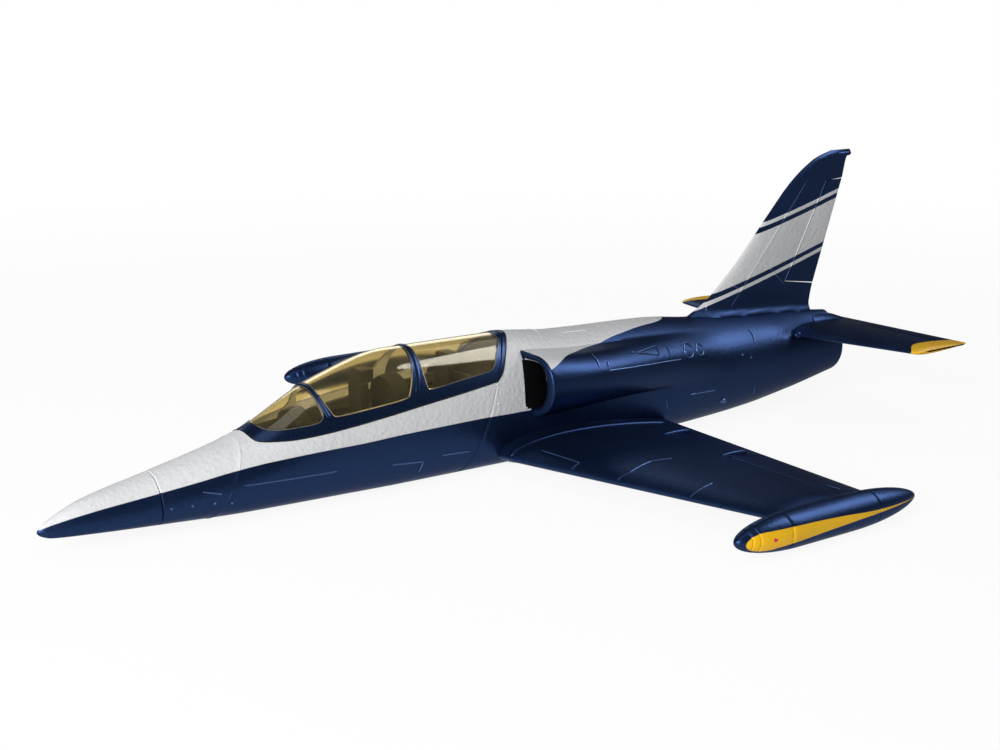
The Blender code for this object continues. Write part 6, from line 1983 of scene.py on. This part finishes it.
@dataclass
class Wings(Builder):
    """Outer wing panels, ailerons and tip tanks."""

    bay_z: Pair = (-90.0, 40.0)
    line_radius: float = 0.5
    line_sink: float = 0.1
    lines: Sequence[Line] = (
        ((438.6, 129.8), (447.1, 129.1), (443.6, 79.4)),
        ((446.6, 180.7), (458.2, 182.6), (487.8, 177.2), (509.1, 181.8)),
        ((459.6, 257.3), (465.0, 257.7), (486.0, 255.5)),
        ((565.0, 311.0), (567.0, 324.0)),
    )
    root_bead: float = 2.3
    root_sink: float = 0.7
    knob_y: float = 287.0
    knob_size: Triple = (3.0, 1.6, 1.6)
    fairings: Sequence[Triple] = ((563.0, 604.0, 105.0), (553.0, 590.0, 193.0))
    fairing_size: Pair = (2.0, 3.4)
    fairing_sink: float = 0.6
    tank_grooves: Sequence[float] = (434.5, 441.5, 473.0, 576.0)
    groove_steps: Sequence[float] = (-0.9, -0.5, 0.0, 0.5, 0.9)
    groove_depth: float = 0.55
    groove_slope: float = 0.6
    lens_x: float = 454.5
    lens_size: Triple = (2.4, 0.8, 1.7)

    def build(self) -> None:
        """Makes both wings."""
        for side in Side:
            self.wing(side)
            self.details(side)
            self.tank(side)

    def section(self, y: float) -> Triple:
        """Leading edge, chord and height of the wing at a distance from the centre line."""
        share = (y - WING_Y[0]) / (WING_Y[1] - WING_Y[0])
        return tuple(between(pair, share) for pair in (WING_LE, WING_CHORD, WING_Z))

    def ring(self, y: float, side: Side, grow: float = 0.0) -> Array:
        """One section of the wing.

        Args:
            y: Distance from the centre line.
            side: Which wing.
            grow: How far it is swelled.
        Returns:
            The ring.
        """
        front, chord, level = self.section(y)
        sink = 1 - TIP_SINK * max(0.0, (y - TIP_SINK_Y) / (WING_Y[1] - TIP_SINK_Y)) ** 2
        points = aerofoil(chord, WING_THICKNESS, WING_CAMBER) * np.array((1.0, sink))
        if grow:
            points = offset(points, grow)
        return merge(front + points[:, 0], side.value * y, level + points[:, 1])

    def top(self, side: Side, x: float, y: float, sink: float) -> Triple:
        """A point under the wing's upper side.

        Args:
            side: Which wing.
            x: Station.
            y: Distance from the centre line.
            sink: How far under.
        Returns:
            The point.
        """
        front, chord, level = self.section(y)
        share = np.clip((x - front) / chord, 0.0, 1.0)
        return x, side.value * y, float(level + sum(foil(chord, WING_THICKNESS, share, WING_CAMBER))) - sink

    def wing(self, side: Side) -> None:
        """One wing panel with its aileron.

        Args:
            side: Which wing.
        """
        ends = []
        for y in AILERON_Y:
            front, chord, level = self.section(y)
            mean, half = foil(chord, WING_THICKNESS, AILERON_HINGE_SHARE, WING_CAMBER)
            hinge = np.array((front + AILERON_HINGE_SHARE * chord, side.value * y, level + mean))
            ends.append((hinge, np.array((front + chord, side.value * y, level)), half))
        aileron = Hinge(ends, UP)
        name = side.label + "_aileron"
        rings = [self.ring(y, side) for y in np.linspace(WING_Y[0] + GAP, WING_Y[1], 40)]
        wing = self.shop.solid(side.label + "_wing_skin", Shape.loft(rings), Finish.WING)
        self.shop.change(wing, Shape.plan(aileron.bay((0, 1)), *self.bay_z), Finish.WING)
        self.shop.room(wing, name + "_servo", GAP, less=(0, 0, 20))
        self.shop.room(wing, name + "_servo_arm", ARM_GAP, less=(4, 0, 20), more=(4, 0, 0))
        self.shop.fit(wing, Finish.WING, side.label + "_wing")
        self.shop.piece(name + "_skin", aileron.solid(), Finish.WING, name, body=side.wing_body + "_aileron")

    def details(self, side: Side) -> None:
        """Raised lines, fairings and the root bead of one wing; the lines' lighter coat is a painted highlight.

        Args:
            side: Which wing.
        """
        lines = beads(self.lines, 14, partial(self.top, side, sink=self.line_sink), self.line_radius)
        self.shop.piece(side.label + "_wing_lines", Shape.together(lines), Finish.WING_RIDGE)
        stations = np.linspace(WING_LE[0] + 0.8, WING_LE[0] + WING_CHORD[0] * 0.93, 60)
        root = [self.top(side, x, WING_Y[0], self.root_sink) for x in stations]
        front, _, level = self.section(self.knob_y)
        knob = Shape.dome((front + 1.0, side.value * self.knob_y, level), self.knob_size)
        pair = Shape.together([Shape.tube(root, self.root_bead, 16), knob])
        self.shop.piece(side.label + "_wing_beads", pair, Finish.WING)
        blades = []
        for first, last, y in self.fairings:
            middle = self.top(side, (first + last) / 2, y, self.fairing_sink)
            blades.append(Shape.dome(middle, ((last - first) / 2, *self.fairing_size), 16))
        self.shop.piece(side.label + "_wing_fairings", Shape.together(blades), Finish.WING)

    @staticmethod
    def tank_radius(x: float) -> float:
        """The tank's radius.

        Args:
            x: Station.
        Returns:
            The radius there, without grooves.
        """
        radius = TANK_RADIUS
        for away, (length, power) in ((x - TANK_X[0], TANK_NOSE), (TANK_X[1] - x, TANK_TAIL)):
            radius *= (1 - (1 - min(away / length, 1.0)) ** 2) ** power
        return radius

    def tank(self, side: Side) -> None:
        """One tip tank with its ring grooves.

        Args:
            side: Which wing.
        """
        stations = np.concatenate(
            [
                TANK_X[0] + TANK_NOSE[0] * np.linspace(0.04, 1.0, 40) ** 2,
                np.linspace(TANK_X[0] + TANK_NOSE[0] + 2, TANK_X[1] - TANK_TAIL[0] - 2, 16),
                TANK_X[1] - TANK_TAIL[0] * np.linspace(1.0, 0.05, 44) ** 1.6,
                np.add.outer(self.tank_grooves, self.groove_steps).ravel(),
            ]
        )
        profile = []
        for x in np.unique(np.round(stations, 3)).tolist():
            near = min(abs(x - groove) for groove in self.tank_grooves)
            profile.append((x, self.tank_radius(x) - max(0.0, self.groove_depth - self.groove_slope * near)))
        name = side.label + "_tip_tank"
        shape = Shape.turned(profile, (0.0, side.value * TANK_Y, TANK_Z), 72)
        tank = self.shop.solid(name + "_skin", shape, Finish.TANK)
        inboard = (WING_Y[1] - 30.0, *np.linspace(WING_Y[1] - 14.0, WING_Y[1], 8))
        pocket = [self.ring(y, side, GAP) for y in inboard]
        pocket.append(pocket[-1] + side.value * GAP * ACROSS)
        self.shop.change(tank, Shape.loft(pocket), Finish.RAW)
        self.shop.fit(tank, Finish.TANK, name, sharp=50.0)
        out = TANK_Y + self.tank_radius(self.lens_x) - 0.1
        lens = Shape.dome((self.lens_x, side.value * out, TANK_Z), self.lens_size)
        finish = Finish.RED_LENS if side is Side.LEFT else Finish.GREEN_LENS
        self.shop.piece(side.label + "_tank_lens", lens, finish)


@dataclass
class Tail(Builder):
    """Tailplane, elevators, fin and rudder."""

    body_stations: Triple = (640.0, TAIL_X, 8.0)
    bay_z: Pair = (-60.0, 120.0)
    bay_half: float = 40.0
    tip_rows: Sequence[float] = (168.5, 170.0, 171.0, 171.6, STAB_TIP_Y)
    tip_thinning: float = 0.8
    groove_x: Pair = (862.0, 920.0)
    groove_radius: float = 0.7
    boss: Pair = (819.5, 37.0)
    boss_size: Triple = (5.0, 4.0, 3.6)
    fillet: Triple = (4.5, 10.0, 60.0)
    fin_z: Triple = (40.0, 190.0, FIN_TOP)
    line_radius: float = 0.6
    line_sink: float = 0.05
    fin_lines: Sequence[Line] = (
        ((749.0, 62.0), (861.0, 189.0)),
        ((832.5, 84.0), (891.0, 186.0)),
        ((786.0, 109.0), (809.0, 99.3), (832.0, 80.0)),
        ((719.0, 70.0), (717.0, 62.0)),
        ((747.9, 90.7), (762.0, 84.0)),
    )
    cap: Line = ((905.0, 1.6), (909.0, 2.6), (925.0, 2.7), (929.0, 2.2), (930.4, 1.0))
    cap_z: float = 213.0
    fairing: Sequence[Triple] = (
        (868.0, 17.0, 45.5), (884.0, 16.5, 44.6), (899.0, 14.5, 42.4),
        (912.0, 11.5, 38.9), (922.0, 8.5, 35.6), (927.0, 6.5, 33.8),
    )
    fairing_power: float = 0.8

    def __post_init__(self) -> None:
        """Fits the curves through the fin's levels."""
        self.fin_rows = curves(FIN_LEVELS)

    def build(self) -> None:
        """Makes the tail."""
        for side in Side:
            self.stabiliser(side)
        self.fin()
        turn, base = np.linspace(0.0, math.pi, 25), STAB_Z - 1.0
        rings = []
        for x, half, top in self.fairing:
            z = base + (top - base) * np.sin(turn) ** self.fairing_power
            rings.append(merge(x, half * np.cos(turn), z))
        self.shop.piece("tail_fairing", Shape.loft(rings), Finish.REAR)

    def body_solid(self) -> Shape:
        """The rear fuselage with a little clearance, for trimming.

        Returns:
            The solid.
        """
        rings = [self.skin.ring(FULL_ANGLES, x, 0.0, -GAP) for x in (*np.arange(*self.body_stations), TAIL_X)]
        rings[-1][:, 0] += GAP
        return Shape.loft(rings)

    def stab_edges(self, y: float) -> Pair:
        """Leading and trailing edge of the tailplane at a distance from the centre line."""
        return between(STAB_LE, y / STAB_TIP_Y), between(STAB_TE, y / STAB_TIP_Y)

    def stab_ring(self, y: float, side: Side) -> Array:
        """One section of the tailplane, rounded towards the tip.

        Args:
            y: Distance from the centre line.
            side: Which half.
        Returns:
            The ring.
        """
        front, rear = self.stab_edges(y)
        end = max(0.0, (y - STAB_TIP_Y + STAB_SHOULDER) / STAB_SHOULDER)
        front += STAB_TIP_SWEEP * end**2
        rear -= STAB_TIP_ROUND * end**4
        thin = math.sqrt(1.0 - self.tip_thinning * end**2)
        points = aerofoil(rear - front, STAB_THICKNESS) * np.array((1.0, thin))
        return merge(front + points[:, 0], side.value * y, STAB_Z + points[:, 1])

    def stabiliser(self, side: Side) -> None:
        """One half of the tailplane with its elevator.

        Args:
            side: Which half.
        """
        ends = []
        for y in ELEVATOR_Y:
            front, rear = self.stab_edges(y)
            half = foil(rear - front, STAB_THICKNESS, (ELEVATOR_X - front) / (rear - front))[1]
            ends.append((*(np.array((x, side.value * y, STAB_Z)) for x in (ELEVATOR_X, rear)), half))
        elevator = Hinge(ends, UP)
        label = side.label
        rows = (*np.linspace(0.2, STAB_TIP_Y - STAB_SHOULDER, 26), *self.tip_rows)
        rings = [self.stab_ring(y, side) for y in rows]
        stab = self.shop.solid(label + "_stab_skin", Shape.loft(rings), Finish.TAIL)
        self.shop.change(stab, self.body_solid(), Finish.TAIL)
        self.shop.change(stab, Shape.plan(elevator.bay((0, 1)), *self.bay_z), Finish.TAIL)
        if side is Side.RIGHT:
            self.shop.room(stab, "elevator_servo", GAP, less=(0, 0, 20))
            self.shop.room(stab, "elevator_servo_arm", ARM_GAP, less=(4, 0, 9), more=(4, 0, 0))
        self.shop.fit(stab, Finish.TAIL, label + "_stabiliser")
        name = label + "_elevator"
        self.shop.piece(name + "_skin", elevator.solid(), Finish.TAIL, name, body="elevator")
        # A near-black bead on the tip's end face: a painted shade line along it.
        groove = [(x, side.value * (STAB_TIP_Y + 0.1), STAB_Z) for x in np.linspace(*self.groove_x, 20)]
        self.shop.piece(label + "_tip_groove", Shape.tube(groove, self.groove_radius), Finish.DUCT)
        boss = Shape.dome((self.boss[0], side.value * self.boss[1], STAB_Z), self.boss_size)
        self.shop.piece(label + "_root_boss", boss, Finish.TAIL)

    def fin_ring(self, z: float) -> Array:
        """One section of the fin.

        Args:
            z: Height.
        Returns:
            The ring.
        """
        front, rear, thick = (float(row(z)) for row in self.fin_rows)
        u, y = aerofoil(rear - front, thick / (rear - front)).T
        reach, height, run = self.fillet
        over = z - self.skin.rows[0](front + u)
        flare = reach * np.clip(1 - over / height, 0.0, 1.0) ** 2 * np.sqrt(np.clip(u / run, 0.0, 1.0))
        return merge(front + u, y + np.sign(y) * flare, z)

    def fin_half(self, x: float, z: float) -> float:
        """Half thickness of the fin.

        Args:
            x: Station.
            z: Height.
        Returns:
            Its half thickness there.
        """
        front, rear, thick = (float(row(z)) for row in self.fin_rows)
        share = np.clip((x - front) / (rear - front), 0.0, 1.0)
        return float(foil(rear - front, thick / (rear - front), share)[1])

    def fin_point(self, side: Side, x: float, z: float) -> Triple:
        """A point just under one side of the fin."""
        return x, side.value * (self.fin_half(x, z) - self.line_sink), z

    def fin(self) -> None:
        """The fin with its rudder and raised lines, whose lighter coats are a painted highlight."""
        ends = []
        for (x, z), trail_z in zip(RUDDER_HINGE, RUDDER_TRAIL_Z):
            trail = np.array((float(self.fin_rows[1](trail_z)), 0.0, trail_z))
            ends.append((np.array((x, 0.0, z)), trail, self.fin_half(x, z)))
        rudder = Hinge(ends, ACROSS)
        low, shoulder, top = self.fin_z
        round_off = np.sin(np.linspace(0.0, math.pi / 2, 30))[1:]
        levels = (*np.linspace(low, shoulder, 52), *between((shoulder, top), round_off))
        fin = self.shop.solid("fin_skin", Shape.loft([self.fin_ring(z) for z in levels]), Finish.FIN)
        self.shop.change(fin, self.body_solid(), Finish.FIN)
        self.shop.change(fin, Shape.plate(rudder.bay((0, 2)), self.bay_half), Finish.FIN)
        self.shop.room(fin, "rudder_servo", GAP, more=(0, 20, 0))
        self.shop.room(fin, "rudder_servo_arm", ARM_GAP, less=(3, 0, 3), more=(3, 0, 3))
        self.shop.fit(fin, Finish.FIN, "fin")
        skin = rudder.solid(18, RUDDER_TRIM)
        self.shop.piece("rudder_skin", skin, Finish.FIN, "rudder", body="rudder_panel")
        shapes = []
        for side in Side:
            shapes += beads(self.fin_lines, 15, partial(self.fin_point, side), self.line_radius)
        self.shop.piece("fin_lines", Shape.together(shapes), Finish.FIN_RIDGE)
        self.shop.piece("fin_tip_cap", Shape.turned(self.cap, (0.0, 0.0, self.cap_z), 24), Finish.FIN)


KEPT_NODES = {
    Finish.COCKPIT: ("cockpit_tub",),
    Finish.PLASTIC: (
        "fan_shroud", "fan_rotor", "receiver", "speed_controller",
        "left_aileron_servo", "right_aileron_servo", "elevator_servo", "rudder_servo",
    ),
    Finish.NYLON: (
        "left_aileron_servo_arm", "right_aileron_servo_arm", "elevator_servo_arm", "rudder_servo_arm",
        "left_aileron_horn", "right_aileron_horn", "elevator_horn", "rudder_horn",
    ),
    Finish.STEEL: (
        "left_aileron_pushrod", "right_aileron_pushrod", "elevator_pushrod", "rudder_pushrod",
        "elevator_joiner", "left_wing_screw", "right_wing_screw", "hatch_magnet", "body_magnet",
    ),
    Finish.ALUMINIUM: ("spinner", "motor"),
    Finish.CARBON: ("wing_spar",),
    Finish.PLYWOOD: ("battery_tray",),
    Finish.BATTERY: ("battery",),
}


@dataclass
class Fittings(Builder):
    """Finishes for the CAD nodes that stay, and the small parts that are remade."""

    nodes: dict[str, Object]
    pipe_radii: Pair = (29.2, 25.0)
    pipe_wall: float = 1.0
    strap_thickness: float = 0.9
    strap_corner: float = 2.6
    strap_edge: float = 0.25
    strap_bevel: float = 0.4

    def build(self) -> None:
        """Paints the kept nodes and makes the tail pipe and the battery's strap."""
        for finish, names in KEPT_NODES.items():
            for name in names:
                self.paint(self.nodes[name], finish)
                LOG.info("%s keeps its CAD shape", name)
        self.pipe()
        self.strap()

    def paint(self, obj: Object, finish: Finish) -> None:
        """Gives a CAD node its material.

        Args:
            obj: The node's object.
            finish: The finish.
        """
        if not obj.material_slots:
            obj.data.materials.append(None)
        for slot in obj.material_slots:
            slot.material = self.shop.paints.get(finish)

    def pipe(self) -> None:
        """The tapered tail pipe, finely turned, with a rolled rear edge."""
        low, high = self.shop.node_box("tail_pipe")
        front, rear = low[0], high[0]
        (big, small), wall = self.pipe_radii, self.pipe_wall
        outer = ((front, big), (rear - 1.0, small + 0.02), (rear - 0.3, small + 0.25), (rear, small - 0.2))
        inner = ((rear, small - wall * 0.8), (rear - 1.0, small - wall), (front, big - wall))
        shape = Shape.turned((*outer, *inner), (0, 0, THRUST_Z), 72, closed=True)
        self.shop.piece("tail_pipe_skin", shape, Finish.PIPE, "tail_pipe")

    def strap(self) -> None:
        """The woven band, pulled tight over the battery with rounded corners."""
        low, high = self.shop.node_box("battery_strap")
        thick, corner, edge = self.strap_thickness / 2, self.strap_corner, self.strap_edge
        half, top = high[1] - thick, high[2] - thick
        turn = np.linspace(0.0, math.pi / 2, 9)
        rise = [(half, z) for z in np.linspace(low[2], top - corner, 8)[:-1]]
        bend = merge(half - corner * (1 - np.cos(turn)), top - corner * (1 - np.sin(turn)))
        side = np.array([*rise, *bend])
        over = [(y, top) for y in np.linspace(side[-1, 0], -side[-1, 0], 12)[1:-1]]
        path = np.concatenate([side, over, (side * np.array((-1.0, 1.0)))[::-1]])
        along = np.gradient(path, axis=0)
        along /= np.linalg.norm(along, axis=1)[:, None]
        first, last, bevel = low[0], high[0], self.strap_bevel
        section = (
            (first, -edge), (first, edge), (first + bevel, thick), (last - bevel, thick),
            (last, edge), (last, -edge), (last - bevel, -thick), (first + bevel, -thick),
        )
        rings = []
        for (y, z), (dy, dz) in zip(path, along):
            rings.append(np.array([(x, y + dz * lift, z - dy * lift) for x, lift in section]))
        band = self.shop.piece("strap_band", Shape.loft(rings), Finish.STRAP, "battery_strap")


@dataclass(frozen=True)
class Softbox:
    """One large soft light; a mirror card shows in reflections alone."""

    name: str
    place: Triple
    width: float
    depth: float
    power: float
    mirrored_only: bool = False

    def hang(self) -> None:
        """Makes the light and aims it at the model."""
        light = bpy.data.lights.new(self.name, "AREA")
        light.shape = "RECTANGLE"
        light.size = self.width
        light.size_y = self.depth
        light.energy = self.power
        obj = bpy.data.objects.new(self.name, light)
        obj.location = self.place
        obj.rotation_euler = (CAMERA_TARGET - Vector(self.place)).to_track_quat("-Z", "Y").to_euler()
        obj.visible_diffuse = not self.mirrored_only
        bpy.context.scene.collection.objects.link(obj)


@dataclass
class Studio:
    """Floor, light and camera."""

    floor_size: float = 170.0
    floor_z: float = -0.0004
    floor_grey: Triple = (0.93, 0.93, 0.93)
    shadow_reach: Pair = (0.75, 2.2)
    shadow_share: float = 0.09
    falloff: Pair = (-0.1, 0.8)
    falloff_share: float = 0.62
    ceiling: tuple[float, float, float, float] = (-0.02, 0.05, 1.0, 0.04)
    fill: float = 0.2
    lights: Sequence[Softbox] = (
        Softbox("key_softbox", (-2.4, -1.05, 1.05), 1.5, 1.2, 92.0),
        Softbox("top_softbox", (-0.5, -0.2, 2.4), 1.2, 0.9, 5.0),
        Softbox("tail_softbox", (1.6, 0.1, 1.7), 1.2, 1.0, 4.0),
        Softbox("back_softbox", (1.0, 2.2, 1.2), 1.6, 1.0, 10.0),
        Softbox("mirror_card", (1.5, -0.68, 1.4), 0.95, 1.3, 33.0, True),
    )

    def build(self) -> None:
        """Makes the studio."""
        self.world()
        self.floor()
        for light in self.lights:
            light.hang()
        self.camera()

    def world(self) -> None:
        """A white surround low down, a dim ceiling above it, and a soft fill."""
        world = bpy.data.worlds.new("studio_white")
        world.use_nodes = True
        bpy.context.scene.world = world
        graph = Graph(world.node_tree)
        height = graph.parts(graph.node("TexCoord").outputs["Generated"])[2]
        ray = graph.node("LightPath").outputs
        mirrored = graph.times(ray["Is Glossy Ray"], graph.span(height, *self.ceiling))
        direct = graph.most(ray["Is Camera Ray"], ray["Is Transmission Ray"])
        fill = graph.times(ray["Is Diffuse Ray"], self.fill)
        strength = graph.most(graph.most(mirrored, direct), fill)
        graph.fill(world.node_tree.nodes["Background"], Color=(1.0, 1.0, 1.0), Strength=strength)

    def floor(self) -> None:
        """A pale floor that shows the model's soft shadow, and glows to rays that see it."""
        mesh = bpy.data.meshes.new("studio_floor")
        half = self.floor_size / 2
        corners = [(x * half, y * half, self.floor_z) for x, y in ((-1, -1), (1, -1), (1, 1), (-1, 1))]
        mesh.from_pydata(corners, [], [(0, 1, 2, 3)])
        floor = bpy.data.objects.new("studio_floor", mesh)
        bpy.context.scene.collection.objects.link(floor)
        material = bpy.data.materials.new("studio_floor")
        material.use_nodes = True
        nodes, graph = material.node_tree.nodes, Graph(material.node_tree)
        paper = nodes["Principled BSDF"]
        graph.fill(paper, Base_Color=self.floor_grey, Roughness=0.9, Specular_IOR_Level=0.0)
        spot, ray = graph.spot(), graph.node("LightPath").outputs
        loss = graph.span(graph.parts(spot)[0], *self.falloff, 0.0, self.falloff_share)
        mirrored = graph.times(ray["Is Glossy Ray"], loss)
        glow = graph.fill(graph.node("Emission"), Strength=graph.minus(1.0, mirrored))
        away = graph.fill(graph.node("VectorMath", operation="LENGTH"), spot).outputs["Value"]
        white = graph.span(away, *self.shadow_reach, 1 - self.shadow_share, 1.0)
        seen = graph.most(ray["Is Camera Ray"], graph.most(ray["Is Glossy Ray"], ray["Is Transmission Ray"]))
        blend = graph.node("MixShader")
        graph.fill(blend, graph.times(seen, white), paper.outputs[0], glow.outputs[0])
        graph.fill(nodes["Material Output"], blend.outputs[0])
        mesh.materials.append(material)

    def camera(self) -> None:
        """The camera at the photograph's viewing angle."""
        turn, tilt = math.radians(CAMERA_AZIMUTH), math.radians(CAMERA_ELEVATION)
        back = Vector((math.sin(turn) * math.cos(tilt), -math.cos(turn) * math.cos(tilt), math.sin(tilt)))
        data = bpy.data.cameras.new("photo_camera")
        data.lens = CAMERA_LENS
        data.sensor_width = CAMERA_SENSOR
        data.sensor_fit = "HORIZONTAL"
        camera = bpy.data.objects.new("photo_camera", data)
        camera.location = CAMERA_TARGET + back * CAMERA_DISTANCE
        camera.rotation_euler = back.to_track_quat("Z", "Y").to_euler()
        bpy.context.scene.collection.objects.link(camera)
        bpy.context.scene.camera = camera
        bpy.context.scene.view_settings.view_transform = "Standard"


def main() -> None:
    """Builds the whole scene."""
    logging.basicConfig(level=logging.INFO)
    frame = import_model()
    shop = Workshop()
    builders = (
        FrontFuselage(shop), RearFuselage(shop), CanopyHatch(shop), Cockpit(shop),
        Wings(shop), Tail(shop), Fittings(shop, frame["nodes"]), Studio(),
    )
    for builder in builders:
        builder.build()
        LOG.info("%s done", type(builder).__name__)


if __name__ == "__main__":
    main()
